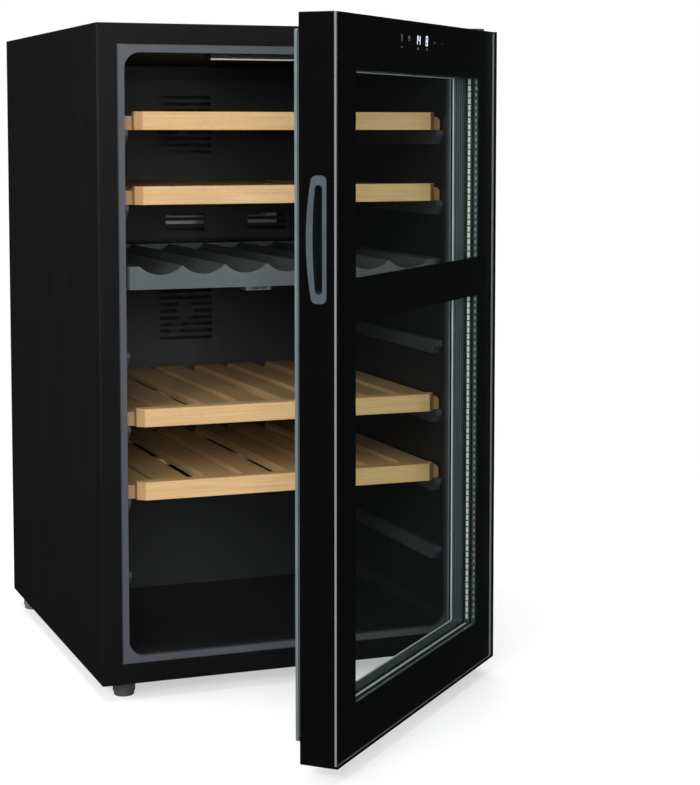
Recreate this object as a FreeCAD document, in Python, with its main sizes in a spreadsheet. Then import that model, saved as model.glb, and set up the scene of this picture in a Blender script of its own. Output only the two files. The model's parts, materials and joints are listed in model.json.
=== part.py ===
import FreeCAD, Part
import math
import os
import Sketcher
from FreeCAD import Placement, Rotation, Vector

# Free-standing two-zone wine cooler. Millimetres, +Z up, the front faces -Y and the door is
# hinged on the right (+X). The origin is the centre of the cabinet's footprint on the floor.
# Every driving size is a named cell of the sheet "dim". Size keeps a number together with its
# formula on those cells, so plain arithmetic here also writes the expressions of the document.

os.makedirs("parts", exist_ok=True)
doc = FreeCAD.newDocument("wine_cooler")
sheet = doc.addObject("Spreadsheet::Sheet", "dim")


class Size:
    """A length that knows its own formula on the sheet."""

    def __init__(self, text, value):
        self.text = text
        self.value = value

    def joined(self, sign, other, value):
        return Size(f"({self.text} {sign} {as_size(other).text})", value)

    def __add__(self, other):
        return self.joined("+", other, self.value + as_size(other).value)

    def __sub__(self, other):
        return self.joined("-", other, self.value - as_size(other).value)

    def __mul__(self, other):
        return self.joined("*", other, self.value * as_size(other).value)

    def __truediv__(self, other):
        return self.joined("/", other, self.value / as_size(other).value)

    def __radd__(self, other):
        return as_size(other) + self

    def __rsub__(self, other):
        return as_size(other) - self

    def __rmul__(self, other):
        return as_size(other) * self

    def __neg__(self):
        return self * -1


def as_size(thing):
    return thing if isinstance(thing, Size) else Size(f"({thing:.6f})", thing)


DRIVING = {
    # cabinet shell
    "past": 1, "cab_width": 495, "cab_depth": 550, "cab_height": 810, "foot_height": 20,
    "skin": 0.8, "top_skin": 1.2, "bend_radius": 2, "front_return": 25, "rear_return": 15,
    "mitre_gap": 0.5, "back_lip": 12, "rail_height": 24, "rail_depth": 15, "rail_wall": 1.2,
    "seam": 0.3,
    # insulated walls and liner
    "side_wall": 34, "top_wall": 35, "floor_wall": 34, "back_wall": 35, "liner_wall": 1.5,
    "opening_radius": 20, "flange_edge": 25.2, "flange_raised_edge": 26.5, "flange_step": 1.3,
    "flange_setback": 0.5, "flange_thick": 1.2, "flange_round": 2,
    # machine room under the rear of the compartment
    "machine_depth": 168, "machine_height": 158, "room_wall": 32,
    # shelf levels, ledges and shelves
    "top_bay": 94, "bottom_bay": 101, "ledge_height": 18, "ledge_nose": 6.3, "ledge_reach": 9,
    "ledge_setback": 20, "ledge_rear_gap": 2,
    "shelf_setback": 5, "shelf_lift": 0.4, "board_height": 22.5, "board_depth": 20,
    "board_side_gap": 15, "board_chamfer": 8.5, "board_round": 1.2, "deck_side_gap": 2,
    "lane_gap": 17, "pair_gap": 7, "slat_top": 17, "slat_thick": 9, "slat_chamfer": 4,
    "runner_width": 16, "rear_bar": 24, "shelf_rear_gap": 12,
    # zone divider
    "divider_drop": 13, "divider_height": 28.7, "divider_setback": 17, "divider_nose": 13,
    "divider_side_gap": 6, "divider_round": 6, "scallop_radius": 38.5, "scallop_depth": 11,
    "scallop_rear_gap": 6,
    # lamps
    "lamp_length": 195, "lamp_depth": 30, "lamp_height": 7.3, "lamp_setback": 22,
    "lamp_chamfer": 2, "lamp_nose": 4, "lamp_slope": 1.5, "lamp_wall": 5, "led_room_height": 4,
    "led_board_gap": 2, "led_board_thick": 1.6, "led_width": 4, "led_height": 1,
    "led_pitch": 23.4, "vent_width": 34, "vent_height": 5, "vent_depth": 26,
    "vent_offset": 37.5, "vent_setback": 3, "vent_round": 3, "vent_rim": 1.3,
    "vent_slot_margin": 8, "vent_slot_pitch": 4, "vent_slot_width": 2.6, "vent_slot_depth": 6,
    # ducts, evaporators and fans
    "duct_depth": 38.5, "duct_wall": 1.6, "duct_side_gap": 23, "duct_margin": 6,
    "duct_round": 10, "slot_height": 5, "slot_length": 80, "intake_length": 60,
    "intake_rise": 12, "fan_inset": 66, "fan_motor_radius": 17, "motor_gap": 1.4,
    "strap_length": 96, "strap_width": 14, "strap_thick": 2.5, "strap_leg": 10,
    "fan_hub_radius": 14, "fan_radius": 40, "fan_shaft_radius": 1.5, "shaft_clearance": 0.05,
    "shaft_end_gap": 0.5, "blade_thick": 1.6, "blade_chord": 15, "blade_root": 1,
    "blade_tilt": 35, "hub_length": 12, "hub_face": 1.5, "hub_gap": 4, "motor_length": 13,
    "plate_thick": 1.6, "plate_tube_radius": 3.5, "plate_tube_bend": 9, "plate_side": 60,
    "plate_below_fan": 52, "plate_rise": 20, "plate_setback": 6, "plate_margin": 12,
    "plate_end": 20, "plate_row_step": 24,
    # machine room contents
    "compressor_x": 90, "compressor_back": 2, "compressor_radius": 57, "shell_height": 52,
    "dome_height": 30, "sump_height": 22, "sump_sink": 2, "weld_height": 28.6, "weld_proud": 2,
    "weld_width": 3, "lug_width": 150, "lug_depth": 112, "lug_thick": 3, "lug_round": 10,
    "mount_height": 12, "mount_radius": 10, "mount_inset": 14, "relay_gap": 2.2,
    "relay_depth": 23.8, "relay_width": 50, "relay_height": 42, "relay_rise": 6,
    "relay_round": 4, "pipe_radius": 3, "pipe_bend": 9, "pipe_standoff": 16,
    "discharge_offset": 24, "discharge_drop": 14, "suction_side": 26, "suction_front": 20,
    "liquid_drop": 10, "dryer_radius": 9, "dryer_length": 74, "dryer_side": 34,
    "dryer_setback": 24, "dryer_rise": 40, "dryer_neck": 8, "neck_wall": 1.2,
    "capillary_radius": 1.6, "tray_width": 96, "tray_depth": 120, "tray_height": 26,
    "tray_wall": 2, "tray_round": 8, "tray_gap": 20, "tray_setback": 20, "box_width": 104,
    "box_depth": 76, "box_height": 58, "box_gap": 8, "box_round": 4, "gland_radius": 9,
    "gland_step": 2, "gland_bore": 3.6, "gland_length": 14, "gland_side": 24, "gland_rise": 22,
    # condenser on the back
    "coil_radius": 2.4, "coil_bend": 18, "coil_standoff": 7, "coil_side": 44,
    "coil_bottom": 52, "coil_top": 60, "coil_start": 18, "clip_width": 12, "clip_height": 18,
    "clip_inset": 60,
    # feet
    "foot_radius": 13.8, "foot_tread": 12.6, "foot_edge": 1.1, "stud_radius": 4,
    "stud_length": 16, "stud_clearance": 0.1, "stud_room_gap": 0.4, "front_foot_inset": 33.5,
    "front_foot_setback": 28, "rear_foot_inset": 19, "rear_foot_setback": 48, "foot_gap": 0.3,
    # door
    "door_thick": 44, "door_gap": 10.7, "seal_clearance": 0.3, "door_top_gap": 5,
    "door_drop": 1, "hinge_inset": 10, "hinge_depth": 25, "door_open": 45,
    "frame_width": 48, "frame_round": 2, "glass_thick": 4, "glass_edge": 0.4,
    "hinge_lip": 9.5, "foot_lip": 3, "lip_setback": 0.3, "lip_free_trim": 2, "lip_hinge_trim": 1,
    "glass_round": 1.5, "glue": 0.6, "print_thick": 0.15, "pane_thick": 3, "spacer_thick": 6,
    "spacer_width": 6.5, "pane_play": 1.5, "pane_round": 1, "border_free": 59,
    "border_hinge": 57.5, "border_top": 59, "border_bottom": 56.6, "band_height": 48,
    "band_below_divider": 11, "window_round": 1.2,
    "reveal_depth": 15.5, "reveal_round": 3,
    # gasket
    "gasket_inset": 10, "gasket_end_inset": 20, "gasket_top_inset": 16, "gasket_width": 18,
    "gasket_base": 3, "gasket_bellows": 4, "gasket_neck": 3, "gasket_face_trim": 1,
    "gasket_round": 4, "gasket_inner_round": 3,
    # handle in the free edge of the door
    "handle_centre": 567.5, "handle_length": 135, "bezel_front": 11.9, "bezel_end": 28.9,
    "bezel_bulge": 6.6, "bezel_proud": 0.9, "bezel_round": 6,
    "pocket_front": 16.7, "pocket_end": 25, "pocket_bulge": 3, "pocket_length": 115,
    "pocket_reach": 26, "cup_wall": 1.5, "pocket_round": 4,
    # display behind the outer glass
    "display_inset": 21, "display_width": 150, "display_height": 30, "display_thick": 7,
    "display_round": 2,
    # hinges
    "pin_radius": 4, "pin_clearance": 0.05, "pin_length": 16, "bush_radius": 7,
    "bush_length": 18, "collar_radius": 9, "collar_height": 3.7, "bracket_thick": 3,
    "bracket_width": 54,
    "bracket_side_gap": 1, "bracket_reach": 42, "bracket_shoulder": 16, "bracket_corner": 8,
    "bracket_flange": 17.5, "bracket_gap": 0.8, "pin_root": 1, "screw_radius": 2,
    "screw_play": 0.1, "screw_head": 3.8, "screw_head_height": 2, "screw_length": 12,
    "top_screw_side": 43, "top_screw_pitch": 20, "top_screw_drop": 10, "low_screw_side": 47,
    "low_screw_pitch": 14, "low_screw_rise": 9,
}
for row, (alias, number) in enumerate(DRIVING.items(), start=1):
    sheet.set(f"A{row}", str(number))
    sheet.setAlias(f"A{row}", alias)
doc.recompute()


class Sizes:
    """Every driving size by its name."""


d = Sizes()
for alias, number in DRIVING.items():
    setattr(d, alias, Size(f"dim.{alias}", number))


# ---------------------------------------------------------------- ways to make a piece

def bind(thing, formulas):
    for name, amount in formulas.items():
        thing.setExpression(name, as_size(amount).text)


def box(name, x, y, z):
    made = doc.addObject("Part::Box", name)
    bind(made, {
        "Length": x[1] - x[0], "Width": y[1] - y[0], "Height": z[1] - z[0],
        "Placement.Base.x": x[0], "Placement.Base.y": y[0], "Placement.Base.z": z[0],
    })
    return made


TURNS = {
    "X": Rotation(Vector(0, 1, 0), 90),
    "Y": Rotation(Vector(1, 0, 0), -90),
    "Z": Rotation(),
}


def place(made, start, rotation):
    made.Placement = Placement(Vector(), rotation)
    bind(made, {
        "Placement.Base.x": start[0], "Placement.Base.y": start[1], "Placement.Base.z": start[2],
    })


def cylinder(name, start, radius, length, axis):
    made = doc.addObject("Part::Cylinder", name)
    place(made, start, TURNS[axis])
    bind(made, {"Radius": radius, "Height": length})
    return made


def fuse(name, *shapes):
    made = doc.addObject("Part::MultiFuse", name)
    made.Shapes = list(shapes)
    return made


def group(name, *shapes):
    made = doc.addObject("Part::Compound", name)
    made.Links = list(shapes)
    return made


def cut(name, base, *tools):
    made = doc.addObject("Part::Cut", name)
    made.Base = base
    made.Tool = tools[0] if len(tools) == 1 else group(f"{name}_tools", *tools)
    return made


def common(name, base, tool):
    made = doc.addObject("Part::Common", name)
    made.Base = base
    made.Tool = tool
    return made


def polygon(sketch, points):
    """A closed outline whose corners are each set from the origin of the sketch."""
    flat = [Vector(as_size(u).value, as_size(v).value, 0) for u, v in points]
    first = None
    for index, (u, v) in enumerate(points):
        line = sketch.addGeometry(Part.LineSegment(flat[index - 1], flat[index]), False)
        first = line if first is None else first
        if line > first:
            sketch.addConstraint(Sketcher.Constraint("Coincident", line - 1, 2, line, 1))
        for kind, amount in (("DistanceX", u), ("DistanceY", v)):
            spot = sketch.addConstraint(
                Sketcher.Constraint(kind, -1, 1, line, 2, as_size(amount).value))
            sketch.setExpression(f"Constraints[{spot}]", as_size(amount).text)
    sketch.addConstraint(Sketcher.Constraint("Coincident", line, 2, first, 1))


def rounded(sketch, u, v, radius):
    """A rectangle with four equal round corners."""
    u0, u1, v0, v1, r = (as_size(one).value for one in (*u, *v, radius))
    corners = [(u1 - r, v0 + r), (u1 - r, v1 - r), (u0 + r, v1 - r), (u0 + r, v0 + r)]
    sides, arcs = [], []
    for turn, (cu, cv) in enumerate(corners):
        before = corners[turn - 1]
        angle = math.radians(90 * turn - 90)
        out = Vector(r * math.cos(angle), r * math.sin(angle), 0)
        sides.append(sketch.addGeometry(
            Part.LineSegment(Vector(*before, 0) + out, Vector(cu, cv, 0) + out), False))
        circle = Part.Circle(Vector(cu, cv, 0), Vector(0, 0, 1), r)
        arcs.append(sketch.addGeometry(
            Part.ArcOfCircle(circle, angle, angle + math.pi / 2), False))
    for turn in range(4):
        following = (turn + 1) % 4
        sketch.addConstraint(
            Sketcher.Constraint("Tangent", sides[turn], 2, arcs[turn], 1))
        sketch.addConstraint(
            Sketcher.Constraint("Tangent", arcs[turn], 2, sides[following], 1))
        flatness = "Vertical" if turn % 2 else "Horizontal"
        sketch.addConstraint(Sketcher.Constraint(flatness, sides[turn]))
        if turn:
            sketch.addConstraint(Sketcher.Constraint("Equal", arcs[0], arcs[turn]))
    sizes = [("Radius", (arcs[0],), radius)]
    for kind, side, amount in (
            ("DistanceY", 0, v[0]), ("DistanceX", 1, u[1]),
            ("DistanceY", 2, v[1]), ("DistanceX", 3, u[0])):
        sizes.append((kind, (-1, 1, sides[side], 1), amount))
    for kind, where, amount in sizes:
        spot = sketch.addConstraint(
            Sketcher.Constraint(kind, *where, as_size(amount).value))
        sketch.setExpression(f"Constraints[{spot}]", as_size(amount).text)


def bowed(sketch, u, v, radius, bulge):
    """A rectangle with four equal round corners whose far side swells out as one long arc."""
    half = (v[1] - v[0]) / 2
    bow = (half * half + bulge * bulge) / (bulge * 2)
    bow_at = (u[1] + bulge - bow, v[0] + half)
    u0, v0, v1, r, big, cu, cv = (
        as_size(one).value for one in (u[0], *v, radius, bow, *bow_at))
    reach = big - r
    lean = math.asin((cv - v0 - r) / reach)
    far = cu + reach * math.cos(lean)
    quarter = math.pi / 2
    sketch_line = [
        Part.LineSegment(Vector(u0 + r, v0, 0), Vector(far, v0, 0)),
        (far, v0 + r, r, -quarter, -lean), (cu, cv, big, -lean, lean),
        (far, v1 - r, r, lean, quarter),
        Part.LineSegment(Vector(far, v1, 0), Vector(u0 + r, v1, 0)),
        (u0 + r, v1 - r, r, quarter, 2 * quarter),
        Part.LineSegment(Vector(u0, v1 - r, 0), Vector(u0, v0 + r, 0)),
        (u0 + r, v0 + r, r, 2 * quarter, 3 * quarter)]
    chain = []
    for one in sketch_line:
        if isinstance(one, tuple):
            circle = Part.Circle(Vector(one[0], one[1], 0), Vector(0, 0, 1), one[2])
            one = Part.ArcOfCircle(circle, one[3], one[4])
        chain.append(sketch.addGeometry(one, False))
    low, first_arc, bow_arc, second_arc, high, third_arc, near, fourth_arc = chain
    for index, one in enumerate(chain):
        sketch.addConstraint(Sketcher.Constraint("Tangent", chain[index - 1], 2, one, 1))
    for flatness, side in (("Horizontal", low), ("Horizontal", high), ("Vertical", near)):
        sketch.addConstraint(Sketcher.Constraint(flatness, side))
    for arc in (second_arc, third_arc, fourth_arc):
        sketch.addConstraint(Sketcher.Constraint("Equal", first_arc, arc))
    for kind, where, amount in (
            ("Radius", (first_arc,), radius), ("Radius", (bow_arc,), bow),
            ("DistanceX", (-1, 1, bow_arc, 3), bow_at[0]),
            ("DistanceY", (-1, 1, bow_arc, 3), bow_at[1]),
            ("DistanceY", (-1, 1, low, 1), v[0]), ("DistanceY", (-1, 1, high, 1), v[1]),
            ("DistanceX", (-1, 1, near, 1), u[0])):
        spot = sketch.addConstraint(
            Sketcher.Constraint(kind, *where, as_size(amount).value))
        sketch.setExpression(f"Constraints[{spot}]", as_size(amount).text)


PLANES = {"XY": (1, False), "XZ": (-1, True), "YZ": (1, False)}


def pad(body, plane, depth, *outlines):
    """Pad outlines between two depths along the normal of a plane of the body's own origin."""
    sketch = body.newObject("Sketcher::SketchObject", f"{body.Name}_outline")
    origin = [one for one in body.Origin.OriginFeatures if one.Role == f"{plane}_Plane"][0]
    sketch.AttachmentSupport = [(origin, "")]
    sketch.MapMode = "FlatFace"
    sign, backwards = PLANES[plane]
    bind(sketch, {"AttachmentOffset.Base.z": depth[0] * sign})
    for outline in outlines:
        draw = {1: polygon, 3: rounded, 4: bowed}[len(outline)]
        draw(sketch, *outline)
    feature = body.newObject("PartDesign::Pad", f"{body.Name}_pad")
    feature.Profile = sketch
    feature.Reversed = backwards
    bind(feature, {"Length": depth[1] - depth[0]})
    body.Tip = feature
    return feature


def plate(name, plane, depth, *outlines):
    body = doc.addObject("PartDesign::Body", name)
    pad(body, plane, depth, *outlines)
    return body


def soften(body, radius, chosen):
    """Fillet the edges of the body's last feature whose middle point passes the test."""
    doc.recompute()
    last = body.Tip
    names = [f"Edge{number}" for number, edge in enumerate(last.Shape.Edges, start=1)
             if chosen(edge, edge.CenterOfMass)]
    feature = body.newObject("PartDesign::Fillet", f"{body.Name}_round")
    feature.Base = (last, names)
    bind(feature, {"Radius": radius})
    body.Tip = feature


def along(edge, axis):
    if len(edge.Vertexes) < 2:
        return False
    run = edge.Vertexes[1].Point - edge.Vertexes[0].Point
    return abs(abs(run.dot(axis)) - run.Length) < 1e-6 and run.Length > 1e-6


def tube(name, points, radius, bend):
    """A round pipe through points joined along the axes, with quarter-circle bends."""
    centres = [[as_size(one) for one in point] for point in points]
    pieces = []
    for index in range(len(centres) - 1):
        start, end = centres[index], centres[index + 1]
        axis = max(range(3), key=lambda one: abs(end[one].value - start[one].value))
        sign = 1 if end[axis].value > start[axis].value else -1
        before = bend if index else 0
        after = bend if index < len(centres) - 2 else 0
        low, high = (start, end) if sign > 0 else (end, start)
        low_trim, high_trim = (before, after) if sign > 0 else (after, before)
        base = [low[one] + low_trim if one == axis else low[one] for one in range(3)]
        length = high[axis] - low[axis] - low_trim - high_trim
        pieces.append(cylinder(f"{name}_run", base, radius, length, "XYZ"[axis]))
        way = Vector(*[sign if one == axis else 0 for one in range(3)])
        if index:
            turn = doc.addObject("Part::Torus", f"{name}_bend")
            middle = [start[one] + bend * (way[one] - last_way[one]) for one in range(3)]
            place(turn, middle, Rotation(-way, last_way, (-way).cross(last_way), "XYZ"))
            bind(turn, {"Radius1": bend, "Radius2": radius})
            turn.Angle3 = 90
            pieces.append(turn)
        last_way = way
    return fuse(name, *pieces)


NODES = {}


def node(name, made):
    made.Label = name
    NODES[name] = made
    return made


# ---------------------------------------------------------------- places in the cabinet

half_width = d.cab_width / 2
front = -d.cab_depth / 2
back = d.cab_depth / 2
bottom = d.foot_height
top = bottom + d.cab_height

inner_x = half_width - d.side_wall
floor = bottom + d.floor_wall
ceiling = top - d.top_wall
rear = back - d.back_wall
inner = (-inner_x, inner_x)

LEVELS = 7
DIVIDER_LEVEL = 4
lowest_level = floor + d.bottom_bay
pitch = (ceiling - d.top_bay - lowest_level) / (LEVELS - 1)
levels = [lowest_level + pitch * one for one in range(LEVELS)]

machine_front = back - d.machine_depth
machine_top = bottom + d.machine_height
hump_front = machine_front - d.room_wall
hump_top = machine_top + d.room_wall

duct_front = rear - d.duct_depth
divider_bottom = levels[DIVIDER_LEVEL] - d.divider_drop
divider_top = divider_bottom + d.divider_height

upright = Vector(0, 0, 1)
crosswise = Vector(1, 0, 0)

# ---------------------------------------------------------------- cabinet shell


def side_profile(side):
    """Outer skin, front return and rear return of a side panel, seen from above."""
    out, skin = half_width * side, d.skin * side
    points = [
        (out, front), (out - d.front_return * side, front),
        (out - d.front_return * side, front + d.skin), (out - skin, front + d.skin),
        (out - skin, back - d.skin), (out - d.rear_return * side, back - d.skin),
        (out - d.rear_return * side, back), (out, back),
    ]
    return (points if side < 0 else points[::-1],)


def bend_edges(corner_x, corner_y):
    """Picks the outer and inner upright edges of a folded corner."""
    def chosen(edge, middle):
        near = math.hypot(middle.x - corner_x, middle.y - corner_y)
        return along(edge, upright) and near < 0.1
    return chosen


half_gap = d.mitre_gap / 2
mitre = {}
for side, hand in ((-1, "left"), (1, "right")):
    outside = (half_width + d.past) * side
    inside = (half_width - d.front_return - d.past) * side
    mitre[hand] = plate(
        f"mitre_{hand}", "XZ", (front - d.past, front + d.bend_radius + d.skin),
        ([(outside, top + d.past - half_gap), (inside, top + d.past),
          (inside, top - d.front_return - d.past - half_gap)][::-side],))

side_panels = {}
for side, hand in ((-1, "left"), (1, "right")):
    panel = plate(f"panel_{hand}", "XY", (bottom, top - d.top_skin), side_profile(side))
    corner = (half_width.value * side, front.value)
    soften(panel, d.bend_radius, bend_edges(*corner))
    soften(panel, d.bend_radius - d.skin,
           bend_edges(corner[0] - d.skin.value * side, corner[1] + d.skin.value))
    side_panels[hand] = cut(f"panel_{hand}_mitred", panel, mitre[hand])

top_sheet = plate(
    "top_sheet", "YZ", (-half_width, half_width),
    ([(front, top - d.front_return), (front + d.skin, top - d.front_return),
      (front + d.skin, top - d.top_skin), (back, top - d.top_skin),
      (back, top), (front, top)],))
soften(top_sheet, d.bend_radius, lambda edge, middle: along(edge, crosswise)
       and abs(middle.y - front.value) < 0.1 and abs(middle.z - top.value) < 0.1)
top_rounding = plate("top_rounding", "XZ", (front - d.past, back + d.past),
                     ((-half_width, half_width), (top - d.cab_height / 2, top), d.top_skin))
top_shaped = common("top_shaped", top_sheet, top_rounding)
corner_blocks = []
for side, hand in ((-1, "left"), (1, "right")):
    outside = (half_width + d.past) * side
    inside = (half_width - d.front_return - d.past) * side
    low = top - d.front_return - d.past + half_gap
    corner_blocks.append(plate(
        f"below_mitre_{hand}", "XZ", (front - d.past, front + d.skin + d.past),
        ([(outside, low), (inside, low), (outside, top + d.past + half_gap)][::-side],)))

screw_spots = [
    (half_width - side + pitch * index, z)
    for side, pitch, z in ((d.top_screw_side, d.top_screw_pitch, top - d.top_screw_drop),
                           (d.low_screw_side, d.low_screw_pitch, bottom + d.low_screw_rise))
    for index in (0, 1)]
screw_holes = [
    cylinder("screw_hole", (x, front - d.bracket_thick - d.past, z),
             d.screw_radius + d.screw_play, d.screw_length + d.bracket_thick + d.past, "Y")
    for x, z in screw_spots]
hole_group = group("screw_holes", *screw_holes)

node("side_panel_left", side_panels["left"])
node("side_panel_right", side_panels["right"])
node("top_panel", cut("top_cut", top_shaped, *corner_blocks, hole_group))

rail_x = half_width - d.front_return - d.seam
rail = plate(
    "rail_profile", "YZ", (-rail_x, rail_x),
    ([(front, bottom), (front + d.rail_depth, bottom),
      (front + d.rail_depth, bottom + d.rail_wall),
      (front + d.rail_wall, bottom + d.rail_wall),
      (front + d.rail_wall, bottom + d.rail_height - d.rail_wall),
      (front + d.rail_depth, bottom + d.rail_height - d.rail_wall),
      (front + d.rail_depth, bottom + d.rail_height), (front, bottom + d.rail_height)],))
soften(rail, d.rail_wall * 0.7, lambda edge, middle: along(edge, crosswise)
       and abs(middle.y - front.value) < 0.01)
node("bottom_rail", cut("rail_cut", rail, hole_group))

feet_at = {
    "front_left": (d.front_foot_inset - half_width, front + d.front_foot_setback),
    "front_right": (half_width - d.front_foot_inset, front + d.front_foot_setback),
    "rear_left": (d.rear_foot_inset - half_width, back - d.rear_foot_setback),
    "rear_right": (half_width - d.rear_foot_inset, back - d.rear_foot_setback),
}
stud_hole = d.stud_radius + d.stud_clearance
skin_x = half_width - d.skin
base_holes = [cylinder("base_hole", (x, y, bottom - d.past), stud_hole,
                       d.skin + d.past * 2, "Z")
              for x, y in feet_at.values()]
base_sheet = box("base_sheet", (-skin_x, skin_x), (front + d.rail_depth, back - d.skin),
                 (bottom, bottom + d.skin))
node("base_plate", cut("base_cut", base_sheet, *base_holes))

back_sheet = box("back_sheet", (-skin_x, skin_x), (back - d.skin * 2, back - d.skin),
                 (machine_top - d.skin, top - d.top_skin))
back_lip = box("back_lip", (-skin_x, skin_x), (back - d.back_lip, back - d.skin),
               (machine_top - d.skin * 2, machine_top - d.skin))
node("back_panel", fuse("back_fused", back_sheet, back_lip))

# ---------------------------------------------------------------- liner and insulation

opening = (inner, (floor, ceiling), d.opening_radius)
shell_outer = (
    (-inner_x - d.liner_wall, inner_x + d.liner_wall),
    (floor - d.liner_wall, ceiling + d.liner_wall), d.opening_radius + d.liner_wall)
flange_front = front + d.flange_setback
flange_back = flange_front + d.flange_step + d.flange_thick

liner_solid = plate("liner_solid", "XZ", (flange_back, rear + d.liner_wall), shell_outer)
hump_void = box(
    "hump_void", (-half_width, half_width), (hump_front + d.liner_wall, back),
    (bottom, hump_top - d.liner_wall))
liner_block = cut("liner_block", liner_solid, hump_void)
cavity_solid = plate("cavity_solid", "XZ", (front - d.past, rear), opening)
hump_block = box("hump_block", (-half_width, half_width), (hump_front, back + d.past),
                 (bottom, hump_top))
cavity = cut("cavity", cavity_solid, hump_block)


def flange_outline(edge):
    return ((edge - half_width, half_width - edge), (bottom + edge, top - edge),
            d.flange_round)


flange_plate = plate(
    "flange_plate", "XZ", (flange_front + d.flange_step, flange_back),
    flange_outline(d.flange_edge))
flange_ring = plate(
    "flange_ring", "XZ", (flange_front, flange_front + d.flange_step),
    flange_outline(d.flange_raised_edge))
liner_full = fuse("liner_full", liner_block, flange_plate, flange_ring)
node("inner_liner", cut("liner_cut", liner_full, cavity))

foam_block = box("foam_block", (-skin_x, skin_x), (flange_back, back - d.skin * 2),
                 (bottom + d.skin, top - d.top_skin))
machine_room = box("machine_room", (-half_width, half_width), (machine_front, back + d.past),
                   (bottom - d.past, machine_top))
rail_room = box("rail_room", (-half_width, half_width), (front, front + d.rail_depth + d.seam),
                (bottom, bottom + d.rail_height + d.seam))
stud_rooms = [
    cylinder("stud_room", (*feet_at[f"front_{hand}"], bottom), stud_hole + d.stud_room_gap,
             d.stud_length + d.past, "Z") for hand in ("left", "right")]
node("foam_insulation", cut("foam_cut", foam_block, liner_block, machine_room, rail_room,
                            hole_group, *stud_rooms,
                            box("foam_mouth", inner, (front, flange_back + d.past),
                                (floor, ceiling))))

ledge_rear = {True: hump_front - d.ledge_rear_gap, False: duct_front - d.ledge_rear_gap}
for side, hand in ((-1, "left"), (1, "right")):
    ledges = []
    for index, level in enumerate(levels):
        if index == DIVIDER_LEVEL:
            continue
        x = (-inner_x, d.ledge_reach - inner_x) if side < 0 else (
            inner_x - d.ledge_reach, inner_x)
        in_hump = (level - d.ledge_height).value < hump_top.value
        ledges.append(plate(
            f"ledge_{hand}", "YZ", x,
            ([(front + d.ledge_setback, level - d.ledge_nose),
              (front + d.ledge_setback + d.ledge_height - d.ledge_nose, level - d.ledge_height),
              (ledge_rear[in_hump], level - d.ledge_height),
              (ledge_rear[in_hump], level), (front + d.ledge_setback, level)],)))
    node(f"shelf_ledges_{hand}", group(f"ledges_{hand}", *ledges))

# ---------------------------------------------------------------- zone divider and lamps

lane_count = 4
deck_x = inner_x - d.deck_side_gap
pair_width = (deck_x * 2 - d.lane_gap * (lane_count - 1)) / lane_count
lane_pitch = pair_width + d.lane_gap

nose_x = inner_x - d.divider_side_gap
nose_front = front + d.divider_setback
divider_nose = plate(
    "divider_nose", "XY", (divider_bottom, divider_top),
    ((-nose_x, nose_x), (nose_front, nose_front + d.divider_nose * 2), d.divider_round))
divider_deck = box("divider_deck", inner, (nose_front + d.divider_nose, rear),
                   (divider_bottom, divider_top))
scallops = [
    cylinder("scallop",
             (lane_pitch / 2 * step, nose_front - d.past,
              divider_top - d.scallop_depth + d.scallop_radius),
             d.scallop_radius, duct_front - nose_front - d.scallop_rear_gap, "Y")
    for step in range(1 - lane_count, lane_count)]
node("zone_divider", cut("divider_cut", fuse("divider_fused", divider_nose, divider_deck),
                         *scallops))

vent_x = (-d.vent_offset - d.vent_width / 2, d.vent_width / 2 - d.vent_offset)
vent_z = (divider_bottom - d.vent_height, divider_bottom)
vent_front = nose_front + d.vent_setback
VENT_SLOTS = 5
slot_starts = [vent_x[0] + d.vent_slot_margin + d.vent_slot_pitch * step
               for step in range(VENT_SLOTS)]
vent_slots = [
    box("vent_slot", (start, start + d.vent_slot_width),
        (vent_front - d.past, vent_front + d.vent_slot_depth),
        (vent_z[0] + d.vent_rim, vent_z[1] - d.vent_rim))
    for start in slot_starts]
vent_case = plate("vent_case", "XY", vent_z,
                  (vent_x, (vent_front, vent_front + d.vent_depth), d.vent_round))
node("divider_sensor_case", cut("vent_cut", vent_case, *vent_slots))

lamp_x = d.lamp_length / 2
lamp_front = front + d.lamp_setback
lamp_case = plate(
    "lamp_case", "YZ", (-lamp_x, lamp_x),
    ([(lamp_front, ceiling), (lamp_front, ceiling - d.lamp_height + d.lamp_chamfer),
      (lamp_front + d.lamp_nose, ceiling - d.lamp_height),
      (lamp_front + d.lamp_depth, ceiling - d.lamp_height + d.lamp_slope),
      (lamp_front + d.lamp_depth, ceiling)],))
room_x = lamp_x - d.lamp_wall
room_y = (lamp_front + d.lamp_wall, lamp_front + d.lamp_depth - d.lamp_wall)
led_room = box("led_room", (-room_x, room_x), room_y,
               (ceiling - d.led_room_height, ceiling + d.past))
node("ceiling_lamp_lens", cut("lens_cut", lamp_case, led_room))
board_end = room_x - d.led_board_gap
board_bottom = ceiling - d.led_board_thick
led_board = box("led_board", (-board_end, board_end),
                (room_y[0] + d.led_board_gap, room_y[1] - d.led_board_gap),
                (board_bottom, ceiling))
led_y = lamp_front + d.lamp_depth / 2
led_half = d.led_width / 2
LED_STEPS = 3
leds = [box("led", (d.led_pitch * step - led_half, d.led_pitch * step + led_half),
            (led_y - led_half, led_y + led_half), (board_bottom - d.led_height, board_bottom))
        for step in range(-LED_STEPS, LED_STEPS + 1)]
node("ceiling_lamp_board", fuse("lamp_board", led_board, *leds))

# ---------------------------------------------------------------- cold air ducts and fans

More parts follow.
